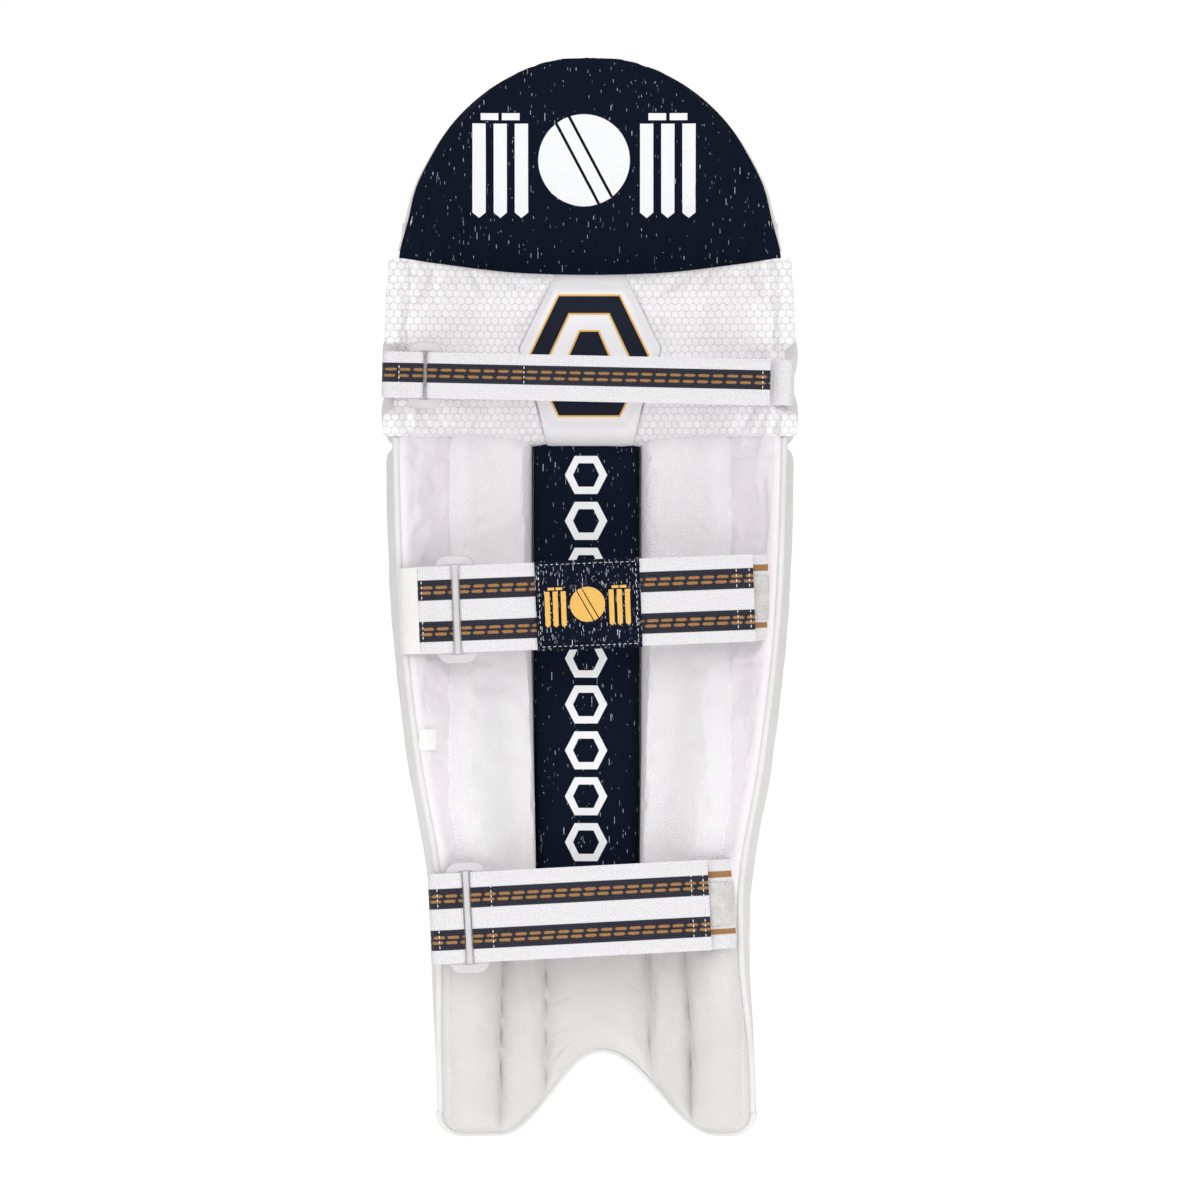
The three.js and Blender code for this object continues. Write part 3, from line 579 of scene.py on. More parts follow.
def settle(bm, shape, pinned, pressure, growth, cap):
    # blows a stitched-down cover out as cloth, so it swells and wrinkles between its seams, by up to the cap
    mesh = bpy.data.meshes.new("settling")
    bm.to_mesh(mesh)
    mesh.transform(Matrix.Scale(mm, 4))
    if shape["side"] == ballSide:   # pressure pushes along the normals
        mesh.flip_normals()
    cover = bpy.data.objects.new("settling", mesh)
    bpy.context.scene.collection.objects.link(cover)
    group = cover.vertex_groups.new(name="stitched")
    for vert in bm.verts:
        hold = pinned(vert.co.x, vert.co.z, sides(shape, vert.co.x, vert.co.z))
        if hold > 0:
            group.add([vert.index], hold, "REPLACE")
    modifier = cover.modifiers.new("cloth", "CLOTH")
    settings = modifier.settings
    settings.vertex_group_mass = "stitched"
    settings.quality = coverCloth["quality"]
    settings.mass = coverCloth["mass"]
    settings.tension_stiffness = settings.compression_stiffness = coverCloth["stiffness"]
    settings.shear_stiffness = coverCloth["shear"]
    settings.bending_stiffness = coverCloth["bending"]
    settings.air_damping = coverCloth["damping"]
    settings.shrink_min = settings.shrink_max = -growth
    settings.use_pressure = True
    settings.uniform_pressure_force = pressure
    settings.effector_weights.gravity = 0
    modifier.collision_settings.use_collision = False
    modifier.collision_settings.use_self_collision = False
    modifier.point_cache.frame_start, modifier.point_cache.frame_end = 1, coverCloth["frames"]
    scene = bpy.context.scene
    for frameNumber in range(1, coverCloth["frames"] + 1):
        scene.frame_set(frameNumber)
    settled = cover.evaluated_get(bpy.context.evaluated_depsgraph_get()).to_mesh()
    bm.verts.ensure_lookup_table()
    for vert, moved in zip(bm.verts, settled.vertices):
        step = moved.co / mm - vert.co
        if step.length > cap:
            step *= cap / step.length
        vert.co += step
    scene.frame_set(1)
    bpy.data.objects.remove(cover)
    bpy.data.meshes.remove(mesh)

def cutMap(bm, flatness=0.0):   # the cloth's own millimetres; flatness 1 measures across as x instead
    layer = bm.loops.layers.uv.new("cut")
    for vert in bm.verts:
        across, y, z = vert.co
        if flatness:
            across = lerp(across, onBoard(across, z, y).x, flatness)
        for loop in vert.link_loops:
            loop[layer].uv = (across, z)

def backed(bm, shape):   # gives the piece its flat back and closed sides
    back = bmesh.ops.extrude_face_region(bm, geom=bm.faces[:], use_keep_orig=True)["geom"]
    for vert in back:
        if isinstance(vert, bmesh.types.BMVert):
            vert.co.y = shape["side"] * shape.get("back", skinLevel)

def laid(bm):   # from flat places to the board's curve
    for vert in bm.verts:
        vert.co = level(*vert.co)

def finished(bm, name, look, body, stands=(), sharp=40):
    bmesh.ops.recalc_face_normals(bm, faces=bm.faces[:])
    if bm.calc_volume(signed=True) < 0:
        bmesh.ops.reverse_faces(bm, faces=bm.faces[:])
    skins[name] = BVHTree.FromBMesh(bm)
    bmesh.ops.scale(bm, vec=(mm, mm, mm), verts=bm.verts[:])
    mesh = bpy.data.meshes.new(name)
    bm.to_mesh(mesh)
    bm.free()
    mesh.shade_smooth()
    mesh.set_sharp_from_angle(angle=math.radians(sharp))
    made = bpy.data.objects.new(name, mesh)
    bpy.context.scene.collection.objects.link(made)
    made.data.materials.append(looks[look])
    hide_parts(*stands)
    if isinstance(body, str):
        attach(made, body)
    else:
        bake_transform(made)
    return made

def paddedPiece(name, shape, height, look, body, stands=(), puff=None, sharp=50):
    bm = flatGrid(shape)
    raiseGrid(bm, shape, height)
    if puff:
        settle(bm, shape, **puff)
    cutMap(bm, shape.get("flatness", 0.0))
    backed(bm, shape)
    laid(bm)
    return finished(bm, name, look, body, stands, sharp)

tubeSides = 10

def tubeAlong(bm, points, radius):   # a round cord through the points, with closed ends
    made = bmesh.ops.create_grid(bm, x_segments=tubeSides, y_segments=len(points) - 1, size=0.5)["verts"]
    side = Vector((0, 1, 0))
    frames = []
    for i, point in enumerate(points):
        heading = (points[min(i + 1, len(points) - 1)] - points[max(i - 1, 0)]).normalized()
        side = (side - heading * side.dot(heading)).normalized()
        frames.append((point, side.copy(), heading.cross(side)))
    count = len(points) - 1
    for vert in made:
        turn = 2 * math.pi * (vert.co.x + 0.5)
        point, first, second = frames[round((vert.co.y + 0.5) * count)]
        vert.co = point + first * (radius * math.cos(turn)) + second * (radius * math.sin(turn))
    bmesh.ops.remove_doubles(bm, verts=made, dist=0.001)
    rims = [edge for edge in bm.edges if edge.is_boundary]
    bmesh.ops.holes_fill(bm, edges=rims, sides=tubeSides)

# ---- the shin face and wings, towards the ball ----

shin = {"channels": 7, "share": 0.66, "height": 19.0, "skin": 1.9, "seamGap": 1.5, "wing": 9.0,
        "top": kneeBottom - 1}
piping = {"radius": 2.2, "clearance": 0.8, "level": -0.6}

def hemZ(x):   # bottom of every layer, just inside the middle of the piping round the feet and arch
    half, corner = board["edge"][0], arch["corner"]
    past = abs(x - board["footShift"]) - (half - corner + piping["radius"] + piping["clearance"])
    if past > 0:
        return corner + piping["radius"] - math.sqrt(max(0, (corner - 1) ** 2 - past ** 2))
    slope = bottomZ(x + 0.5) - bottomZ(x - 0.5)
    return bottomZ(x) + piping["radius"] + math.hypot(1, slope)

def shinHalf(z):
    return shin["share"] * halfWidth(z)

def channelRise(u, count, power=2.4):   # a row of equal stuffed channels
    t = (u * count) % 1.0
    return max(0, 1 - abs(2 * t - 1) ** power) ** 0.55

def makeShinFace():
    shape = {"cells": (shin["channels"] * 14, 120), "left": lambda z: -shinHalf(z), "right": shinHalf,
             "bottom": hemZ, "top": shin["top"], "base": skinLevel, "side": ballSide}
    def height(across, z, near):
        u = clamp((across + shinHalf(z)) / (2 * shinHalf(z)), 0, 0.99999)
        ends = pillow(near[2], 16) * pillow(near[3], 12)
        creases = 0.5 * wander(across * 3, z, 14, 3.0) * channelRise(u, shin["channels"])
        return shin["skin"] + (shin["height"] * channelRise(u, shin["channels"]) + creases) * ends
    paddedPiece("shinFace", shape, height, "puLeather", "pad", ["shin_face_cover"])

def makeWings():
    for hand, side in hands:
        inner = lambda z, side=side: side * (shinHalf(z) + shin["seamGap"])
        outer = lambda z, side=side: side * (halfWidth(z) + 1.6)
        left, right = handed(side, outer, inner)
        shape = {"cells": (44, 120), "left": left, "right": right,
                 "bottom": hemZ, "top": shin["top"], "base": skinLevel, "side": ballSide, "back": 0.6}
        def height(across, z, near, side=side):
            rim, away = handed(side, *near[:2])
            u = clamp(near[0] / (rim + away), 0, 0.99999)
            puff = 1.5 + shin["wing"] * channelRise(u, 2, 2.6) * pillow(near[2], 14) * pillow(near[3], 12)
            creases = 0.6 * wander(across, z, 17, 8.0 + side)
            return lerp(-3.2, puff + creases, pillow(rim, 7))
        paddedPiece(hand + "Wing", shape, height, "wingLeather", "pad", [hand + "_wing"])

kneeRoll = {"height": 27.0, "lift": 2.5, "gap": 0.5, "past": 0.8, "names": ("lower", "middle", "upper")}

def makeKneeRolls():
    step = (kneeTop - kneeBottom) / 3
    for i, place in enumerate(kneeRoll["names"]):
        low = kneeBottom + i * step + kneeRoll["gap"]
        shape = {"cells": (110, 26), "left": lambda z: leftEdge(z) - kneeRoll["past"],
                 "right": lambda z: halfWidth(z) + kneeRoll["past"], "bottom": low,
                 "top": low + step - 2 * kneeRoll["gap"], "base": skinLevel, "side": ballSide, "back": -1.5}
        def height(across, z, near, low=low):
            v = clamp((z - low) / (step - 2 * kneeRoll["gap"]))
            u = near[0] / (near[0] + near[1])
            belly = max(0, 1 - abs(2 * v - 1) ** 2.3) ** 0.5
            full = kneeRoll["lift"] + kneeRoll["height"] * belly * (0.24 + 0.76 * (1 - abs(2 * u - 1) ** 6))
            creases = 0.7 * wander(across, z * 0.6, 12, 5.0 + i) * belly
            return lerp(-4.6, full + creases, pillow(min(near[0], near[1]), 9))
        paddedPiece(place + "KneeRoll", shape, height, "wingLeather", "pad",
                    ["knee_roll_" + place])

makeShinFace()
makeWings()
makeKneeRolls()
print("ball side ready")

# ---- the leg side: bolsters, centre strip, gutters and instep ----

strip = {"left": -35.5, "right": 31.0, "fill": 15.0}
bolster = {"outer": 93.0, "bottom": 120.0, "top": 447.0, "inside": 25.0, "outside": 13.0, "skin": 1.5}

def outerX(z, side):
    return side * min(bolster["outer"], edgeX(z) - 9)

def underCushion(z):   # where the knee cushion comes down over a layer
    return smooth(z, 446, 430)

def makeBolsters():
    for hand, side in hands:
        inner = (strip["left"] - 0.8) if side < 0 else (strip["right"] + 0.8)
        outer = lambda z, side=side: acrossTo(outerX(z, side), z)
        left, right = handed(side, outer, inner)
        shape = {"cells": (46, 190), "left": left, "right": right, "bottom": bolster["bottom"],
                 "top": bolster["top"], "base": skinLevel + bolster["skin"], "side": legSide,
                 "back": skinLevel + 0.2, "spread": 0.45, "flatness": 1.0}
        def height(across, z, near, side=side):
            rim, away = handed(side, *near[:2])
            full = lerp(bolster["inside"], bolster["outside"], clamp(away / (near[0] + near[1])))
            shoulder = pillow(away, 9) * (0.1 + 0.9 * pillow(rim, 7)) * pillow(near[2], 16)
            tuck = 0.55 + 0.45 * underCushion(z)
            return full * shoulder * tuck + 0.5 * wander(across, z, 30, side) * shoulder
        puff = {"pinned": pinnedWithin(2.5), "pressure": 2.2, "growth": 0.022, "cap": 2.2}
        stands = [hand + "_bolster_cover", hand + "_bolster_foam"]
        paddedPiece(hand + "Bolster", shape, height, "knitMesh", "pad", stands, puff)

def makeStrip():
    shape = {"cells": (40, 170), "left": strip["left"], "right": strip["right"], "bottom": bolster["bottom"],
             "top": bolster["top"], "base": skinLevel + 1, "side": legSide, "spread": 0.3}
    def height(across, z, near):
        rim = pillow(min(near[0], near[1]), 8)
        return strip["fill"] * (0.35 + 0.65 * rim) * pillow(near[2], 16) * (0.6 + 0.4 * underCushion(z))
    puff = {"pinned": pinnedWithin(2.5), "pressure": 1.5, "growth": 0.015, "cap": 1.5}
    paddedPiece("centreStrip", shape, height, "navyFleck", "pad", ["centre_strip"], puff)

def makeLinings():
    seamZ = 430   # a sewn joint across each gutter
    for hand, side in hands:
        gutter = lambda z, side=side: acrossTo(outerX(z, side), z) + side * -1.5
        outer = lambda z, side=side: side * (halfWidth(z) + 1.6)
        left, right = handed(side, outer, gutter)
        shape = {"cells": (26, 150), "left": left, "right": right, "bottom": bolster["bottom"] - 2,
                 "top": bolster["top"], "base": skinLevel, "side": legSide, "back": 1.2}
        def height(across, z, near, side=side):
            rim, _ = handed(side, *near[:2])
            soft = 0.8 + 0.7 * wander(across, z * 0.5, 19, 20.0 + side)
            seam = 1.2 * math.exp(-((z - seamZ) / 1.4) ** 2)
            return lerp(-2.4, soft + 0.8 - seam, pillow(rim, 6))
        def pinned(x, z, near, side=side):
            rim, _ = handed(side, *near[:2])
            return 1.0 if min(near) < 1.2 or rim < 6 else 0.0
        puff = {"pinned": pinned, "pressure": 0.8, "growth": 0.02, "cap": 1.6}
        paddedPiece(hand + "Lining", shape, height, "lilacLining", "pad",
                    [hand + "_lining"], puff)

instep = {"top": 119.0, "seams": (-91, -59.5, -28, 37.5, 66.5, 98), "lift": 2.5, "fill": 9.5}

def instepRise(x):   # the foam channel that a place is in, 0 at its seams
    seams = instep["seams"]
    if x <= seams[0] or x >= seams[-1]:
        return 0.0
    i = max(k for k, seam in enumerate(seams[:-1]) if seam <= x)
    t = (x - seams[i]) / (seams[i + 1] - seams[i])
    return max(0, 1 - abs(2 * t - 1) ** 2.8) ** 0.6

def makeInstep():
    shape = {"cells": (150, 84), "left": lambda z: leftEdge(z) - 1.6, "right": lambda z: halfWidth(z) + 1.6,
             "bottom": hemZ, "top": instep["top"] + 6, "base": skinLevel, "side": legSide, "back": 1.0}
    def height(across, z, near):
        x = onBoard(across, z).x
        rim = pillow(min(near[0], near[1]), 5)
        ends = (0.1 + 0.9 * pillow(near[2] - 1.5, 13)) * (0.45 + 0.55 * pillow(near[3], 10))
        folds = 0.25 * wander(x * 1.6, z * 0.6, 20, 31.0)
        body = instep["lift"] + (instep["fill"] * instepRise(x) + folds) * ends
        return lerp(-2.6, body, rim)
    def pinned(across, z, near):
        x = onBoard(across, z).x
        return 1.0 if min(near) < 1.5 or min(abs(x - seam) for seam in instep["seams"]) < 1.1 else 0.0
    puff = {"pinned": pinned, "pressure": 1.2, "growth": 0.006, "cap": 1.6}
    paddedPiece("instepLining", shape, height, "instepLeather", "pad", ["instep_lining"],
                puff)

makeBolsters()
makeStrip()
makeLinings()
makeInstep()
print("leg side ready")

# ---- the knee cushion and its moulded cup ----

knee = {"middle": 31.0, "edge": 9.0, "skin": 1.5, "top": 555.0, "sag": 9.5, "bottom": 443.0, "dip": 7.0,
        "dipHalf": 85.0, "strapZ": 479.0}
cup = {"z": (436, 463, 498, 547, 556), "half": (27, 33, 45, 21, 17), "lift": 1.5, "plateau": 3.4,
       "middle": (-0.6, 494.0), "moulding": (42.5, 23.0, 42.5)}
hexagons = {"outer": (37.0, 19.0, 37.5), "inner": (25.6, 13.0, 27.0), "core": (12.2, 5.7, 15.1), "line": 1.1}

def cushionTop(x):
    return knee["top"] - knee["sag"] * max(0, 1 - (x / 122) ** 2)

def cushionBottom(x):
    return knee["bottom"] - knee["dip"] * max(0, 1 - (x / knee["dipHalf"]) ** 2)

def cupHalf(z):
    heights, halves = cup["z"], cup["half"]
    i = max(0, next((k for k, height in enumerate(heights) if height >= z), len(heights) - 1) - 1)
    return lerp(halves[i], halves[i + 1], clamp((z - heights[i]) / (heights[i + 1] - heights[i])))

def cushionFill(x, z):
    toEdge = min(1, abs(x) / edgeX(z))
    upward = clamp((z - kneeBottom) / (kneeTop - kneeBottom))
    crown = 0.5 + 0.5 * (1 - abs(2 * upward - 1) ** 4)
    return lerp(knee["middle"], knee["edge"], toEdge ** 2) * (0.4 + 0.6 * (1 - toEdge ** 8)) * crown

def insideHexagon(x, z, size):   # distance in from a hexagon's outline, negative outside it
    wide, flat, tall = size
    dx, dz = abs(x - cup["middle"][0]), abs(z - cup["middle"][1])
    slope = Vector((tall, wide - flat)).normalized()
    return min(tall - dz, slope.x * (wide - dx) - slope.y * dz)

def cushionWrap(z):   # how far the cushion goes past the board's edge, less where the strap presses on it
    return lerp(14, 12.5, smooth(z, 455, 553)) - 11 * smooth(abs(z - knee["strapZ"]), 24, 17)

def makeCushion():
    for hand, side in hands:
        inner = lambda z, side=side: side * (cupHalf(z) + 0.1)
        outer = lambda z, side=side: side * (halfWidth(z) + cushionWrap(z))
        left, right = handed(side, outer, inner)
        shape = {"cells": (68, 84), "left": left, "right": right, "bottom": cushionBottom,
                 "top": cushionTop, "base": skinLevel + knee["skin"], "side": legSide, "back": 0.2,
                 "spread": 0.3, "flatness": 0.85}
        def height(across, z, near, side=side):
            x = onBoard(across, z).x
            rim, cupSide = handed(side, *near[:2])
            ends = (0.5 + 0.5 * pillow(near[2], 11)) * (0.5 + 0.5 * pillow(near[3], 11))
            seam = 0.9 + 0.1 * pillow(cupSide, 6)
            corner = smooth(rim, 34, 4) * (smooth(near[2], 26, 3) + 0.7 * smooth(near[3], 26, 3))
            crumple = corner * 3.0 * wander(across * 1.3, z, 9, 40.0 + side)
            full = cushionFill(x, z) * ends * seam + crumple + 0.8 * wander(across, z, 34, 44.0 + side)
            return lerp(-4.8, full, pillow(rim, 6))
        puff = {"pinned": pinnedWithin(2.2), "pressure": 2.4, "growth": 0.035, "cap": 3.0}
        stands = [hand + "_knee_cover"] + (["knee_foam"] if side < 0 else [])
        paddedPiece(hand + "KneeCushion", shape, height, "honeycombMesh", "pad",
                    stands, puff)

def makeCup():
    shape = {"cells": (76, 100), "left": lambda z: -cupHalf(z), "right": cupHalf, "bottom": cushionBottom,
             "top": cushionTop, "base": skinLevel + knee["skin"], "side": legSide}
    def height(across, z, near):
        ends = (0.5 + 0.5 * pillow(near[2], 9)) * (0.5 + 0.5 * pillow(near[3], 9))
        welt = cup["lift"] * smooth(min(near[0], near[1]), -1, 5)
        inside = insideHexagon(across, z, cup["moulding"])
        plateau = cup["plateau"] * smooth(inside, -3.5, 3.0) * pillow(min(near[2], near[3]), 6)
        core = 0.9 * smooth(insideHexagon(across, z, hexagons["inner"]), -1.5, 1.5)
        return cushionFill(across, z) * ends + welt + plateau - core
    paddedPiece("kneeCup", shape, height, "cupLeather", "pad", ["knee_cup"], sharp=70)

# ---- prints: thin films dropped onto a surface from the leg side ----

def outlineFace(bm, points):
    return bm.faces.new([bm.verts.new((x, 0, z)) for x, z in points])

def hexagonPoints(size, grow=0.0):
    wide, flat, tall = size
    x, z = cup["middle"]
    wide, flat, tall = wide + grow * 1.12, flat + grow * 0.6, tall + grow
    return [(x - flat, z + tall), (x + flat, z + tall), (x + wide, z), (x + flat, z - tall),
            (x - flat, z - tall), (x - wide, z)]

def ringFace(bm, outside, inside):   # the flat band between two outlines of as many points
    loops = []
    for points in (outside, inside):
        verts = [bm.verts.new((x, 0, z)) for x, z in points]
        loops += [bm.edges.new((verts[i - 1], verts[i])) for i in range(len(verts))]
    bmesh.ops.bridge_loops(bm, edges=loops)

def printed(bm, name, target, look, body, stands=(), lift=0.25, cell=3.0, thick=0.2):
    for axis in (0, 2):   # cut into cells, so that the film follows the surface
        places = [vert.co[axis] for vert in bm.verts]
        cut = math.floor(min(places) / cell) * cell + cell
        normal = Vector((0, 0, 0))
        normal[axis] = 1
        while cut < max(places):
            bmesh.ops.bisect_plane(bm, geom=bm.verts[:] + bm.edges[:] + bm.faces[:], dist=0.0001,
                                   plane_co=normal * cut, plane_no=normal)
            cut += cell
    bmesh.ops.remove_doubles(bm, verts=bm.verts[:], dist=0.001)
    bmesh.ops.recalc_face_normals(bm, faces=bm.faces[:])
    if sum(face.normal.y for face in bm.faces) > 0:
        bmesh.ops.reverse_faces(bm, faces=bm.faces[:])
    for vert in bm.verts:
        hit, normal, _, _ = skins[target].ray_cast(Vector((vert.co.x, -300, vert.co.z)), Vector((0, 1, 0)))
        if hit is not None:
            vert.co = hit + normal * lift
    cutMap(bm)
    bmesh.ops.solidify(bm, geom=bm.faces[:], thickness=thick)
    return finished(bm, name, look, body, stands, sharp=60)

def makeHexagons():
    line = hexagons["line"]
    bm = bmesh.new()
    ringFace(bm, hexagonPoints(hexagons["outer"]), hexagonPoints(hexagons["inner"]))
    outlineFace(bm, hexagonPoints(hexagons["core"]))
    printed(bm, "cupHexagons", "kneeCup", "printNavy", "pad")
    bm = bmesh.new()
    ringFace(bm, hexagonPoints(hexagons["outer"], line), hexagonPoints(hexagons["outer"]))
    ringFace(bm, hexagonPoints(hexagons["inner"]), hexagonPoints(hexagons["inner"], -line))
    ringFace(bm, hexagonPoints(hexagons["core"], line), hexagonPoints(hexagons["core"]))
    printed(bm, "cupOutlines", "kneeCup", "printGold", "pad", lift=0.3)

makeCushion()
makeCup()
makeHexagons()
print("knee ready")

# ---- the top flap ----

dome = {"low": 556.0, "high": 682.5, "half": 120.0, "taper": 0.17, "power": 2.6, "round": 0.45,
        "hem": 540.0, "fill": 6.5, "faceFill": 13.0, "bare": 0.2}
flapBend = ("pad", "top_flap", (0, 0.04, 0.550), (0, 0.04, 0.568))
rimBend = ("pad", "top_flap", (0, 0.04, 0.558), (0, 0.04, 0.586))

def rimHalf(z, inset=0.0):   # half width of the dome, or of an outline inside it
    share = clamp((z - dome["low"]) / (dome["high"] - inset - dome["low"]))
    half = (dome["half"] - inset) * (1 - dome["taper"] * share)
    lumps = 1 + 0.006 * math.sin(share * 19 + 1) * (1 - share)
    return half * lumps * max(0, 1 - share ** dome["power"]) ** dome["round"]

def rimAcross(z, inset=0.0):
    return acrossTo(rimHalf(z, inset), z)

def fromRim(x, z, inset=0.0):   # distance in from the dome's outline
    slope = rimHalf(z + 0.5, inset) - rimHalf(z - 0.5, inset)
    return (rimHalf(z, inset) - abs(x)) / math.hypot(1, slope)

def liningHalf(z):   # the speckled cloth stops short of the rim low down, and covers it higher up
    return rimHalf(z, 0.3) - dome["bare"] * smooth(z, 602, 572)

def domeGrid(shape, inset, half=None):   # rows crowd towards the top of the dome, where its sides run in
    bm = flatGrid({**shape, "left": -1, "right": 1, "bottom": 0, "top": 1, "spread": 0})
    low, high = shape["bottom"], dome["high"] - inset - 0.3
    for vert in bm.verts:
        u, rise = vert.co.x, math.sin(vert.co.z * math.pi / 2)
        z = lerp(at(low, u * dome["half"]), high, rise)
        across = acrossTo(half(z), z) if half else rimAcross(z, inset)
        vert.co = (u * across, 0, z)
    return bm

def makeFlapLining():
    inset = 0.3
    shape = {"cells": (90, 90), "bottom": dome["hem"], "base": skinLevel, "side": legSide, "back": -0.2}
    bm = domeGrid(shape, inset, liningHalf)
    shape.update(left=lambda z: -acrossTo(liningHalf(z), z), right=lambda z: acrossTo(liningHalf(z), z),
                 top=dome["high"])
    def height(across, z, near):
        x = onBoard(across, z).x
        away = fromRim(x, z, inset + dome["bare"] * smooth(z, 602, 572))
        pleats = 0.9 * math.sin(across / 3.1 + 2.5 * wander(across, z, 40, 51.0)) * smooth(z, 578, 560)
        low = smooth(z, dome["hem"] + 8, dome["hem"] + 30)
        dents = 1.0 * wander(across, z, 32, 53.0)
        ruffle = (0.6 * pleats + dents * low) * pillow(away, 12)
        full = 1.0 + dome["fill"] * pillow(away, 22) * (0.1 + 0.9 * low) + ruffle
        return lerp(-4.0, full, pillow(away, 4.5))
    raiseGrid(bm, shape, height)
    def pinned(x, z, near):
        return 1.0 if min(near[:3]) < 2.5 or near[3] < 1.5 else 0.0
    settle(bm, shape, pinned, pressure=1.6, growth=0.03, cap=2.5)
    cutMap(bm, 1.0)
    backed(bm, shape)
    laid(bm)
    finished(bm, "flapLining", "navyFleck", flapBend, ["top_flap_lining"], 60)

def faceHem(x, middle):   # a hem that rises towards both sides
    return middle + 8 * (x / 118) ** 2

def makeFlapFace():
    inset = 1.6
    shape = {"cells": (98, 80), "bottom": lambda x: faceHem(x, 563), "base": skinLevel, "side": ballSide,
             "back": 1.0}
    bm = domeGrid(shape, inset)
    shape.update(left=lambda z: -rimAcross(z, inset), right=lambda z: rimAcross(z, inset), top=dome["high"])
    cutMap(bm)
    def height(across, z, near):
        x = onBoard(across, z).x
        away = fromRim(x, z, inset)
        u = clamp(near[0] / (near[0] + near[1]), 0, 0.99999)
        rise = channelRise(u, shin["channels"]) * pillow(away, 16) * pillow(near[2], 9)
        return lerp(-2.6, 1.2 + dome["faceFill"] * rise + 0.5 * wander(across, z, 16, 57.0), pillow(away, 5))
    raiseGrid(bm, shape, height)
    backed(bm, shape)
    laid(bm)
    finished(bm, "flapFace", "puLeather", "top_flap", ["top_flap_face"], 60)

def makeFlapGusset():   # the soft strip across the foot of the flap, where the flap bends on the real pad
    shape = {"cells": (80, 14), "left": lambda z: leftEdge(z) + 1, "right": lambda z: halfWidth(z) - 1,
             "bottom": 546, "top": lambda x: faceHem(x, 570), "base": 2.6, "side": ballSide, "back": 1.2}
    def height(across, z, near):
        return 1.2 + 1.4 * pillow(min(near), 5) + 0.5 * wander(across, z * 2, 11, 60.0)
    paddedPiece("flapGusset", shape, height, "wingLeather", flapBend)

def makeFlapPiping():
    points = []
    steps = 64
    for i in range(2 * steps + 1):
        share = min(i, 2 * steps - i) / steps
        side = -1 if i <= steps else 1
        inset = lerp(2.6, 3.4, smooth(share, 0.2, 0.5))
        z = lerp(560, dome["high"] - inset, math.sin(share * math.pi / 2))
        points.append(onBoard(acrossTo(side * rimHalf(z, inset), z), z, 1.9))
    bm = bmesh.new()
    tubeAlong(bm, points, piping["radius"])
    finished(bm, "flapPiping", "pipingLeather", rimBend, ["top_flap_binding"], sharp=60)

# a wicket on each side of a ball: three stumps under two bails
emblem = {"ball": 29.0, "seam": 1.8, "rows": 4.6, "lean": 28, "stump": 8.4, "gap": 13.4, "tall": 56.0,
          "foot": 33.0, "point": 3.4, "bail": (5.6, 2.2, 6.6), "wicket": 53.0, "middle": (-3.8, 618.0)}

def wicketFaces(bm, middle, scale, shift):
    half, tall = emblem["stump"] / 2 * scale, emblem["tall"] * scale
    foot = middle[1] - emblem["foot"] * scale
    for i in (-1, 0, 1):
        x = middle[0] + (shift + i * emblem["gap"]) * scale
        point = foot - emblem["point"] * scale
        outlineFace(bm, [(x - half, foot), (x, point), (x + half, foot), (x + half, foot + tall),
                         (x - half, foot + tall)])
    for i in (-0.5, 0.5):
        x = middle[0] + (shift + i * emblem["gap"]) * scale
        reach, low, high = (part * scale for part in emblem["bail"])
        outlineFace(bm, [(x - reach, foot + tall + low), (x + reach, foot + tall + low),
                         (x + reach, foot + tall + high), (x - reach, foot + tall + high)])

def ballFaces(bm, middle, scale):   # a round ball parted by two rows of stitching
    lean = math.radians(emblem["lean"])
    side = Vector((math.cos(lean), 0, math.sin(lean)))
    centre = Vector((middle[0], 0, middle[1]))
    flat = Matrix.Translation(centre) @ Matrix.Rotation(math.pi / 2, 4, "X")
    disc = bmesh.ops.create_circle(bm, cap_ends=True, segments=64, radius=emblem["ball"] * scale, matrix=flat)
    faces = list(disc["verts"][0].link_faces)
    for row in (-1, 1):
        for edge in (-0.5, 0.5):
            cut = centre + side * ((row * emblem["rows"] + edge * emblem["seam"]) * scale)
            parts = faces + [e for f in faces for e in f.edges] + [v for f in faces for v in f.verts]
            made = bmesh.ops.bisect_plane(bm, geom=list(set(parts)), dist=0.0001, plane_co=cut, plane_no=side)
            faces = [part for part in made["geom"] if isinstance(part, bmesh.types.BMFace)]
    def inSeam(face):
        away = abs((face.calc_center_median() - centre).dot(side)) / scale
        return abs(away - emblem["rows"]) < emblem["seam"] / 2
    bmesh.ops.delete(bm, geom=[face for face in faces if inSeam(face)], context="FACES")

def emblemFaces(bm, middle, scale):
    for side in (-1, 1):
        wicketFaces(bm, middle, scale, side * emblem["wicket"])
    ballFaces(bm, middle, scale)

def makeFlapEmblem():
    bm = bmesh.new()
    emblemFaces(bm, emblem["middle"], 1.0)
    printed(bm, "flapEmblem", "flapLining", "printWhite", "top_flap", lift=0.35, cell=2.0)

makeFlapLining()
makeFlapFace()
makeFlapGusset()
makeFlapPiping()
makeFlapEmblem()
print("top flap ready")

# ---- piping round the edges and the arch ----

def footOutline():   # from the left edge down round both feet and the arch to the right edge
    half, corner = board["edge"][0], arch["corner"]
    outside = piping["radius"] + piping["clearance"]
    turns = 10
    path = []
    for i in range(turns + 1):
        turn = math.radians(90 * i / turns)
        path.append((-half + corner - outside - corner * math.cos(turn),
                     corner + 2.5 - corner * math.sin(turn)))
    reach = half - corner + outside
    steps = 110
    middle = [(lerp(-reach, reach, i / steps), 0) for i in range(1, steps)]
    middle = [(x, bottomZ(x + board["footShift"]) + piping["radius"]) for x, _ in middle]
    return path + middle + [(-x, z) for x, z in path[::-1]]

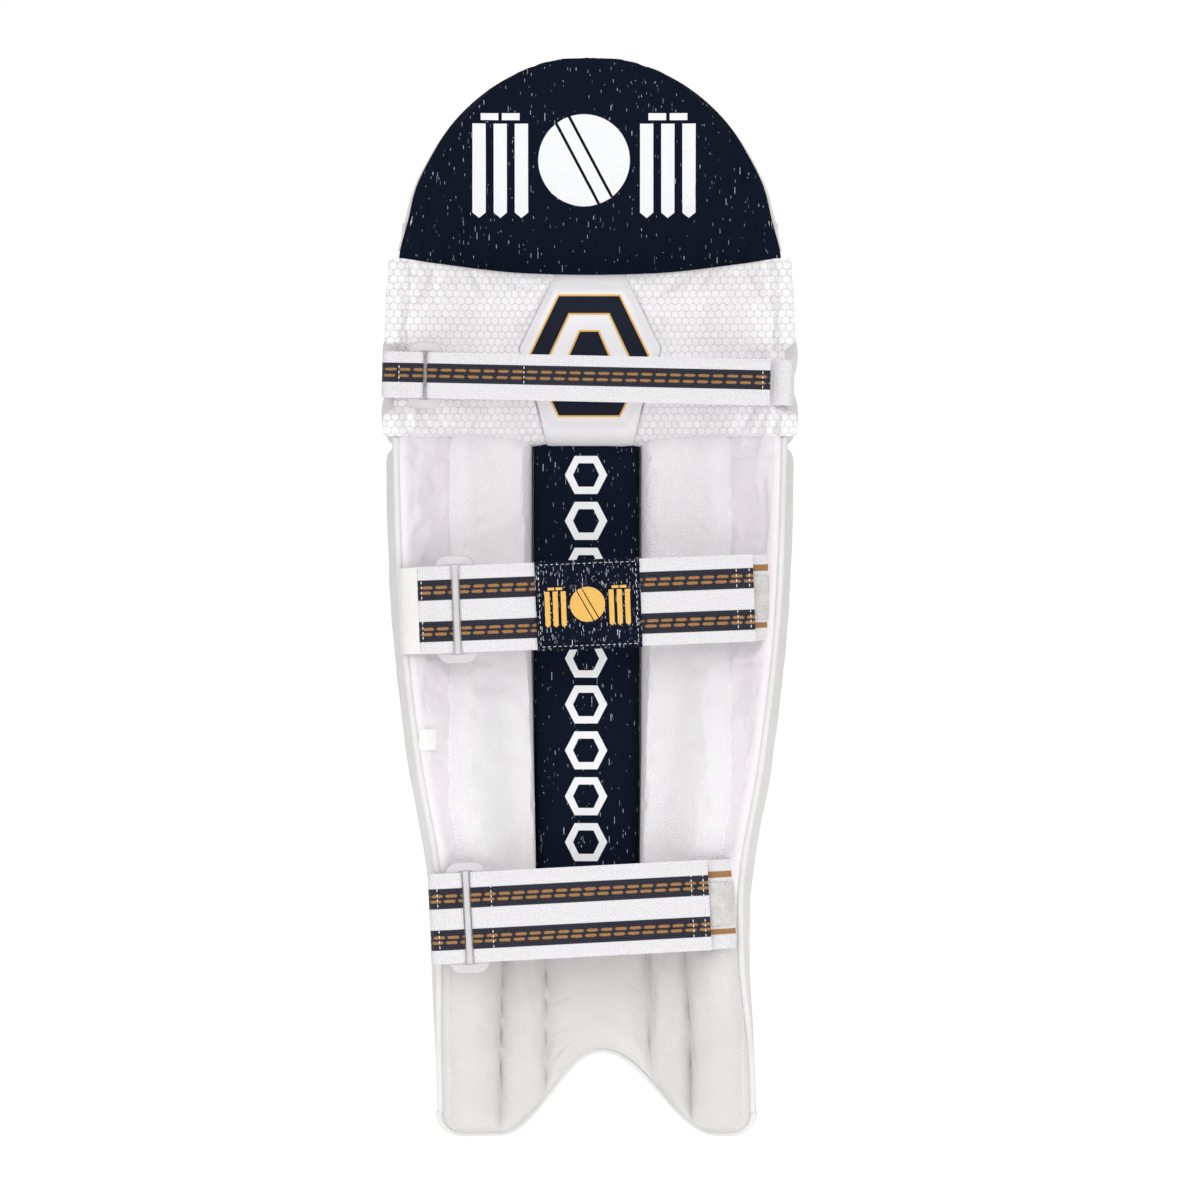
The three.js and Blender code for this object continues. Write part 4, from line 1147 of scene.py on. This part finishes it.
def makePipings():
    outside = piping["radius"] + piping["clearance"] - 0.4
    for hand, side in hands:
        points = []
        for i in range(91):
            z = lerp(arch["corner"] + 2, kneeBottom + 5, i / 90)
            points.append(onBoard(side * (halfWidth(z) + outside), z, piping["level"]))
        bm = bmesh.new()
        tubeAlong(bm, points, piping["radius"])
        finished(bm, hand + "Piping", "pipingLeather", "pad", [hand + "_edge_binding"], sharp=60)
    points = [onBoard(acrossTo(x, z), z, piping["level"]) for x, z in footOutline()]
    bm = bmesh.new()
    tubeAlong(bm, points, piping["radius"])
    finished(bm, "archPiping", "pipingLeather", "pad", ["arch_binding"], sharp=60)

makePipings()
print("piping ready")

# ---- straps ----
# z is the centre height, ringX the ring's centre, half its half width and gap the space between the two
# loops of webbing; endX is where the free end stops and pileX where its hook patch starts; wrap is how far
# the tab goes out past its seam, underPast how far past the right edge the under layer ends, and standOff how
# far the strap stands in front of the board's edges; stitches are the free end's rows of thread, tabStitch
# moves the tab's row outwards, and ending is the last bend of the under layer

straps = {
    "knee": {"z": 479, "width": 29, "tilt": 1.2, "ringX": -103.6, "half": 10.8, "gap": 2.0, "endX": 113,
             "pileX": 66, "pile": 16, "look": "webbingNarrow", "under": "underNarrow",
             "wrap": 11.6, "underPast": 6.5, "standOff": 9.0, "tabStitch": 0.0, "stitches": (-41.5, 108.5),
             "ending": ((-12, -0.5), (-9.5, -3.0), (-6, -4.8), (-3, -4.8), (-1, -3.2), (0, -0.5))},
    "calf": {"z": 337.4, "width": 54.8, "tilt": -2.2, "ringX": -84, "half": 12.8, "gap": 4.7, "endX": 103,
             "pileX": 56, "pile": 27.5, "look": "webbingWide", "under": "underWide",
             "wrap": 3.0, "underPast": -3.0, "standOff": 8.0, "tabStitch": 3.0, "stitches": (92.5, 100.6),
             "ending": ((-10, 0.4), (-6, 1.6), (-3, 3.4), (0, 6.2))},
    "ankle": {"z": 144.4, "width": 57, "tilt": -3.0, "ringX": -77, "half": 12.8, "gap": 4.8, "endX": 75,
              "pileX": 28, "pile": 27.5, "look": "webbingWide", "under": "underWide",
              "wrap": 9.5, "underPast": -3.0, "standOff": 8.0, "tabStitch": 0.0,
              "stitches": (-61.5, 64.5, 72.0),
              "ending": ((-10, 0.4), (-6, 1.6), (-3, 3.4), (0, 6.2))},
}
webbing = {"thick": 1.4, "rows": 10, "loopHalf": 2.0, "ringThick": 3.2, "capDepth": 6.5, "capRound": 0.62,
           "slack": 0.8, "holeRound": 1.2, "inSeam": 3}

def strapHeights(strap):   # its lower edge, middle and upper edge
    return [strap["z"] + strap["width"] * share for share in (-0.5, 0, 0.5)]

def strapEdge(strap):   # half the board's width, where it is narrowest under the strap
    return min(edgeX(z) for z in strapHeights(strap))

def strapPlace(strap):   # turns a strap's own place into the frame, in millimetres
    planeY = min(onBoard(halfWidth(z), z).y for z in strapHeights(strap)) - strap["standOff"]
    turn = Matrix.Rotation(math.radians(strap["tilt"]), 4, "Y")
    return Matrix.Translation((0, planeY, strap["z"])) @ turn

def ringSizes(strap):
    bar = strap["half"] - (webbing["thick"] + 0.4) - strap["gap"] / 2
    barX = strap["half"] - bar / 2
    return {"bar": bar, "barX": barX, "loop": bar / 2 + 0.4 - webbing["loopHalf"], "bendX": barX - 1}

def ribbon(path, width, place, start=0.0, thick=webbing["thick"]):
    # webbing of that width along a path of (x, y) points
    bm = bmesh.new()
    steps = len(path) - 1
    made = bmesh.ops.create_grid(bm, x_segments=steps, y_segments=webbing["rows"], size=0.5)["verts"]
    faces = bm.faces[:]
    lengths = [start]
    normals = []
    for i, (x, y) in enumerate(path):
        before, after = path[max(i - 1, 0)], path[min(i + 1, steps)]
        heading = Vector((after[0] - before[0], after[1] - before[1])).normalized()
        normals.append(Vector((heading.y, -heading.x)))
        if i:
            lengths.append(lengths[-1] + math.dist(path[i - 1], path[i]))
    layer = bm.loops.layers.uv.new("cut")
    cells = {vert: (round((vert.co.x + 0.5) * steps), vert.co.y) for vert in made}
    for face in faces:
        for loop in face.loops:
            i, share = cells[loop.vert]
            loop[layer].uv = (lengths[i], share * width)
    back = bmesh.ops.extrude_face_region(bm, geom=faces, use_keep_orig=True)["geom"]
    back = [vert for vert in back if isinstance(vert, bmesh.types.BMVert)]
    for verts, side in ((made, 1), (back, -1)):
        for vert in verts:
            i, share = round((vert.co.x + 0.5) * steps), vert.co.y
            half = thick / 2 * (1 - 0.45 * abs(2 * share) ** 14)
            x, y = Vector(path[i]) + normals[i] * (half * side)
            vert.co = place @ Vector((x, y, share * width))
    return bm

def arcPath(middle, radius, start, end, steps=12):
    turns = [math.radians(lerp(start, end, i / steps)) for i in range(steps + 1)]
    return [(middle[0] + radius * math.cos(turn), middle[1] + radius * math.sin(turn)) for turn in turns]

def straightPath(x0, x1, y, step=4.0, bow=None):
    count = max(2, round(abs(x1 - x0) / step))
    places = [lerp(x0, x1, i / count) for i in range(count + 1)]
    return [(x, y + (bow(x) if bow else 0)) for x in places]

threadShare = 0.62   # of each stitch's period that the thread shows for

def stitchInto(bm, start, end, period=3.2, radius=0.34):   # a row of thread stitches between two places
    along = end - start
    count = max(1, round(along.length / period))
    turn = along.to_track_quat("Z", "Y").to_matrix().to_4x4()
    for i in range(count):
        middle = start + along * ((i + 0.5) / count)
        size = Matrix.Diagonal((radius, radius, along.length / count * threadShare / 2, 1))
        bmesh.ops.create_uvsphere(bm, u_segments=6, v_segments=4, radius=1,
                                  matrix=Matrix.Translation(middle) @ turn @ size)

def waver(strap):   # the slight rise and fall that both layers share
    seed = strap["z"] / 10
    return lambda x: 0.9 * wander(x, 0, 60, seed) * smooth(x, strap["ringX"] + 30, strap["ringX"] + 60)

def makeStrap(name, strap):
    place, sizes = strapPlace(strap), ringSizes(strap)
    ringX, width, half = strap["ringX"], strap["width"], strap["half"]
    thick, loop = webbing["thick"], webbing["loopHalf"]
    edge = strapEdge(strap)
    rootX = webbing["inSeam"] - edge
    layer = loop + thick / 2
    body, free = name + "_ring_tab", name + "_strap"
    bow = waver(strap)

    # the sewn tab, out of the seam, round the ring's left bar and back
    barLeft = ringX - sizes["barX"]
    neck = barLeft - sizes["loop"] - layer - 3
    wrapX = rootX - strap["wrap"]
    tuck = [(wrapX + 0.6, 6.5), (wrapX - 0.3, 4.2), (wrapX, 2.2), (wrapX + 1.0, 0.6), (wrapX + 2.6, -0.4)]
    out = tuck + straightPath(wrapX + 4.5, neck, -0.75, 2.5)
    turn = arcPath((barLeft + sizes["loop"], 0), layer, -90, 90)
    upper = [(barLeft - sizes["loop"] - 2, -layer * 0.8), (barLeft - sizes["loop"], -layer)] + turn
    lower = [(barLeft - sizes["loop"], layer), (barLeft - sizes["loop"] - 2, layer * 0.8), (neck, 0.78)]
    path = out + upper + lower + straightPath(neck - 2, rootX + 4, 0.78, 2.5)
    tab = ribbon(path, width, place, start=3.0)
    root = place @ Vector((rootX, 0, 0)) * mm
    held = (place @ Vector((rootX + 7, 0, 0))) * mm
    finished(tab, name + "Tab", strap["look"], ("pad", body, root, held), [name + "_strap_tab"])

    # the under layer, round the ring's right bar
    pivotX = ringX + sizes["bendX"] + 0.4
    barRight = ringX + sizes["barX"]
    underEnd = edge + strap["underPast"]
    ending = [(underEnd + x, layer + y) for x, y in strap["ending"]]
    flat = straightPath(underEnd - 14, pivotX - 0.5, layer, 4.0, bow)
    around = arcPath((barRight - sizes["loop"], 0), layer, 90, 270)
    endStart = 6.0
    under = ribbon(ending[::-1] + flat, width, place)
    for vert in under.verts:   # not as wide as the layer over it, so its edges stay hidden
        vert.co.z = strap["z"] + (vert.co.z - strap["z"]) * 0.985
    far = (place @ Vector((ringX + 58, 0, 0))) * mm
    near = (place @ Vector((pivotX, 0, 0))) * mm
    crossing = ("pad", body, far, near)
    finished(under, name + "Under", strap["under"], crossing, [name + "_strap_under"])
    overlap = 2.0   # the bend's end dips under the free end's start
    turned = [(pivotX, layer)] + around + [(pivotX + 0.6, -layer), (pivotX + overlap - 0.4, 0.35 - layer)]
    length = sum(math.dist(a, b) for a, b in zip(turned, turned[1:])) - overlap
    bend = ribbon(turned, width, place, start=endStart - length)
    finished(bend, name + "Bend", strap["look"], body, [name + "_strap_bend"])

    # the free end
    endX = strap["endX"]
    path = [(pivotX - 0.4, 0.35 - layer), (pivotX + 0.7, 0.05 - layer)]
    path += straightPath(pivotX + 1.8, endX - 1, -layer, 3.2, bow)
    path += [(endX, -layer + bow(endX) + 0.3)]
    end = ribbon(path, width, place, start=endStart)
    pivot = (place @ Vector((pivotX, 0, 0))) * mm
    after = (place @ Vector((pivotX + 14, 0, 0))) * mm
    finished(end, name + "End", strap["look"], (body, free, pivot, after), [name + "_strap_end"])

    # hook and loop, and the thread
    pile = strap["pile"] / 2
    hooks = straightPath(strap["pileX"], endX - 3, -1.15, 3.0, bow)
    loops = straightPath(strap["pileX"] - 20, underEnd - 14, 1.05, 3.0, bow)
    if name != "knee":   # its patch stops beneath the free end's tip
        loops += [(x, y - layer + 1.05) for x, y in ending]
    for piece, path, carrier in (("Hooks", hooks, free), ("Loops", loops, "pad")):
        patch = ribbon(path, 2 * pile, place, thick=1.5)
        node = name + ("_hook_patch" if piece == "Hooks" else "_loop_patch")
        finished(patch, name + piece, "greyPile", carrier, [node])
    thread = bmesh.new()
    face = -layer - thick / 2 - 0.12
    for x in strap["stitches"]:
        top, foot = (place @ Vector((x, face + bow(x), width * share)) for share in (0.47, -0.47))
        stitchInto(thread, top, foot)
    finished(thread, name + "EndThread", "whiteThread", free, sharp=180)
    thread = bmesh.new()
    x = neck - 1.5 - strap["tabStitch"]
    stitchInto(thread, place @ Vector((x, -0.75 - thick / 2 - 0.1, width * 0.46)),
               place @ Vector((x, -0.75 - thick / 2 - 0.1, -width * 0.46)))
    finished(thread, name + "TabThread", "whiteThread", body, sharp=180)
    makeRing(name, strap, place, sizes)

def roundedBox(x, z, radius, steps=6):   # an outline of those half sizes with rounded corners
    points = []
    for cx, cz, start in ((x - radius, z - radius, 0), (radius - x, z - radius, 90),
                          (radius - x, radius - z, 180), (x - radius, radius - z, 270)):
        points += arcPath((cx, cz), radius, start, start + 90, steps)
    return points

def rounded(bm, rims, offset, segments):
    bmesh.ops.bevel(bm, geom=rims, offset=offset, offset_type="OFFSET", segments=segments, profile=0.5,
                    material=-1, affect="EDGES", clamp_overlap=True)

def makeRing(name, strap, place, sizes):   # a moulded frame with two bars and two rounded ends
    half, tall = strap["half"], strap["width"] / 2 + webbing["capDepth"]
    holeX, holeZ = half - sizes["bar"], strap["width"] / 2 + webbing["slack"]
    outlines = (("outer", roundedBox(half, tall, half * webbing["capRound"])),
                ("inner", roundedBox(holeX, holeZ, webbing["holeRound"])))
    bm = bmesh.new()
    loops = {}
    for label, points in outlines:
        for side in (-1, 1):
            y = side * webbing["ringThick"] / 2
            verts = [bm.verts.new((strap["ringX"] + x, y, z)) for x, z in points]
            loops[label, side] = [bm.edges.new((verts[i - 1], verts[i])) for i in range(len(verts))]
    order = (("outer", -1), ("outer", 1), ("inner", 1), ("inner", -1))
    for i in range(4):
        bmesh.ops.bridge_loops(bm, edges=loops[order[i - 1]] + loops[order[i]])
    bmesh.ops.recalc_face_normals(bm, faces=bm.faces[:])
    rims = [edge for edges in loops.values() for edge in edges if edge.is_valid]
    rounded(bm, rims, 1.1, 4)
    if strap["gap"] > 4:   # a third bar between the loops of webbing
        size = Matrix.Diagonal((strap["gap"] - 1.2, webbing["ringThick"] - 0.8, 2 * holeZ, 1))
        made = bmesh.ops.create_cube(bm, size=1, matrix=Matrix.Translation((strap["ringX"], -0.8, 0)) @ size)
        rims = list({edge for vert in made["verts"] for edge in vert.link_edges})
        rounded(bm, rims, 0.6, 3)
    bmesh.ops.transform(bm, matrix=place, verts=bm.verts[:])
    finished(bm, name + "Ring", "ringPlastic", name + "_ring_tab", [name + "_ring"], sharp=50)

badge = {"left": -34.0, "right": 32.0, "thick": 1.3, "hem": 2.4, "stitch": 3.4, "threadRadius": 0.2,
         "scale": 0.38}

def makeBadge():
    strap = straps["calf"]
    place = strapPlace(strap)
    bow = waver(strap)
    y = -webbing["loopHalf"] - webbing["thick"] - badge["thick"] / 2 - 0.05
    width = strap["width"] + 1.5
    path = straightPath(badge["left"], badge["right"], y, 2.5, bow)
    patch = ribbon(path, width, place, thick=badge["thick"])
    finished(patch, "strapBadge", "badgeCloth", "calf_strap", ["calf_strap_badge"])
    thread = bmesh.new()
    face = y - badge["thick"] / 2 - 0.1
    x0, x1, z1 = badge["left"] + badge["hem"], badge["right"] - badge["hem"], width / 2 - badge["hem"]
    corners = [(x0, -z1), (x1, -z1), (x1, z1), (x0, z1), (x0, -z1)]
    for (xa, za), (xb, zb) in zip(corners, corners[1:]):
        first, last = (place @ Vector((x, face + bow(x), z)) for x, z in ((xa, za), (xb, zb)))
        stitchInto(thread, first, last, badge["stitch"], radius=badge["threadRadius"])
    finished(thread, "badgeThread", "whiteThread", "calf_strap", sharp=180)
    bm = bmesh.new()
    middle = ((badge["left"] + badge["right"]) / 2 - 0.5, strap["z"])
    emblemFaces(bm, (0, 0), badge["scale"])
    for vert in bm.verts:
        turned = place.to_3x3() @ Vector((vert.co.x + middle[0], 0, vert.co.z))
        vert.co = (turned.x, 0, turned.z + middle[1])
    printed(bm, "badgeEmblem", "strapBadge", "printGold", "calf_strap", cell=2.5)

def makeTabLabel():   # a plain label caught in the seam beside the calf strap's tab
    strap = straps["calf"]
    place = strapPlace(strap)
    rootX = webbing["inSeam"] - strapEdge(strap)
    face = -0.75 - webbing["thick"] / 2 - tabLabel["thick"] / 2 - 0.15
    path = [(rootX + x, y) for x, y in tabLabel["root"]]
    path += straightPath(rootX, rootX + tabLabel["width"] - 8, face, 2)
    label = ribbon(path, strap["width"] * 0.99, place, thick=tabLabel["thick"])
    root = place @ Vector((rootX, 0, 0)) * mm
    held = (place @ Vector((rootX + 7, 0, 0))) * mm
    crossing = ("pad", "calf_ring_tab", root, held)
    finished(label, "calfTabLabel", "puLeather", crossing, ["calf_tab_label"])

def makeCareLabel():
    bm = bmesh.new()
    x0, x1, z0, z1 = careLabel["x"] + careLabel["z"]
    outlineFace(bm, [(x0, z0 + 1.2), (x1, z0), (x1 + 0.3, z1), (x0 + 0.2, z1 - 0.4)])
    printed(bm, "careLabel", "leftLining", "labelSatin", "pad", ["care_label"],
            lift=0.9, cell=2.5, thick=0.5)

tabLabel = {"width": 12.6, "thick": 0.8,
            "root": ((-7.6, 6.4), (-7.2, 4.4), (-6.2, 2.0), (-4.6, 0.0), (-2.4, -1.1))}
careLabel = {"x": (-107.4, -97.0), "z": (245.0, 259.0)}
stripMarks = {"x": -2.5, "first": 158.0, "step": 29.0, "count": 10, "size": (13.4, 7.2, 12.0), "stroke": 4.6}

def makeStripMarks():   # a column of hexagon rings
    bm = bmesh.new()
    wide, flat, tall = stripMarks["size"]
    for i in range(stripMarks["count"]):
        x, z = stripMarks["x"], stripMarks["first"] + i * stripMarks["step"]
        rings = []
        for shrink in (0, stripMarks["stroke"]):
            w, f, t = wide - shrink * 1.12, flat - shrink * 0.55, tall - shrink
            rings.append([(x - f, z + t), (x + f, z + t), (x + w, z),
                          (x + f, z - t), (x - f, z - t), (x - w, z)])
        ringFace(bm, *rings)
    printed(bm, "stripMarks", "centreStrip", "printWhite", "pad", cell=4)

instepStitches = {"x": (-89.6, 96.8), "low": 14.0, "high": 112.0}

def makeInstepThread():   # stitched lines just inside the instep's side seams
    thread = bmesh.new()
    for x in instepStitches["x"]:
        places = []
        for i in range(13):
            z = lerp(instepStitches["low"], instepStitches["high"], i / 12)
            hit = skins["instepLining"].ray_cast(Vector((x, -300, z)), Vector((0, 1, 0)))[0]
            if hit is not None:
                places.append(hit)
        for start, end in zip(places, places[1:]):
            stitchInto(thread, start, end, 2.7)
    finished(thread, "instepThread", "whiteThread", "pad", sharp=180)

for name, strap in straps.items():
    makeStrap(name, strap)
makeBadge()
makeTabLabel()
makeCareLabel()
makeStripMarks()
makeInstepThread()
print("straps ready")

# ---- hidden inside ----

hidden = {"backing_board": "boardCloth", "knee_foam": "foam", "top_flap_board": "boardCloth"}
for i in range(shin["channels"]):
    hidden["cane_rod_%d" % (i + 1)] = "cane"
for node, look in hidden.items():
    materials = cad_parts[node].data.materials
    materials.clear()
    materials.append(looks[look])

# ---- studio ----

studio = {"width": 0.7584, "distance": 8.0, "x": 0.0063, "z": 0.340, "sensor": 36.0, "plane": 0.03,
          "floor": 1.5}
lights = (   # place, aim, size and power
    ((-0.9, -2.8, 1.5), (0, 0, 0.32), 2.0, 24.0),
    ((1.2, -2.7, 0.9), (0, 0, 0.34), 1.8, 16.5),
    ((0.0, -1.2, 2.6), (0, 0.1, 0.3), 1.2, 9.0),
    ((-1.3, 2.1, 1.8), (0, 0, 0.35), 1.4, 10.0),
    ((1.4, 2.0, 1.1), (0, 0, 0.35), 1.4, 8.0),
)

def makeStudio():
    scene = bpy.context.scene
    data = bpy.data.cameras.new("camera")
    data.sensor_width = studio["sensor"]
    data.lens = studio["sensor"] * (studio["distance"] + studio["plane"]) / studio["width"]
    camera = bpy.data.objects.new("camera", data)
    scene.collection.objects.link(camera)
    camera.location = (studio["x"], -studio["distance"], studio["z"])
    camera.rotation_euler = (math.pi / 2, 0, 0)
    scene.camera = camera
    for i, (place, aim, size, power) in enumerate(lights):
        lamp = bpy.data.lights.new("softbox%d" % (i + 1), "AREA")
        lamp.shape, lamp.size, lamp.energy = "SQUARE", size, power
        box = bpy.data.objects.new(lamp.name, lamp)
        scene.collection.objects.link(box)
        box.location = place
        box.visible_camera = False
        box.rotation_euler = (Vector(aim) - Vector(place)).to_track_quat("-Z", "Y").to_euler()
    world = bpy.data.worlds.new("studio")
    world.use_nodes = True
    tree = world.node_tree
    tree.nodes["Background"].inputs["Color"].default_value = (1, 1, 1, 1)
    seen = put(tree, "LightPath").outputs["Is Camera Ray"]
    tree.links.new(ramp(tree, seen, 0, 1, 0.5, 1.02), tree.nodes["Background"].inputs["Strength"])
    scene.world = world
    scene.view_settings.view_transform = "Standard"
    bm = bmesh.new()
    bmesh.ops.create_circle(bm, cap_ends=True, segments=96, radius=studio["floor"],
                            matrix=Matrix.Translation((0, 0, -0.0005)))
    mesh = bpy.data.meshes.new("floor")
    bm.to_mesh(mesh)
    bm.free()
    floor = bpy.data.objects.new("floor", mesh)
    scene.collection.objects.link(floor)
    floor.data.materials.append(makePaper())

makeStudio()
print("scene ready")
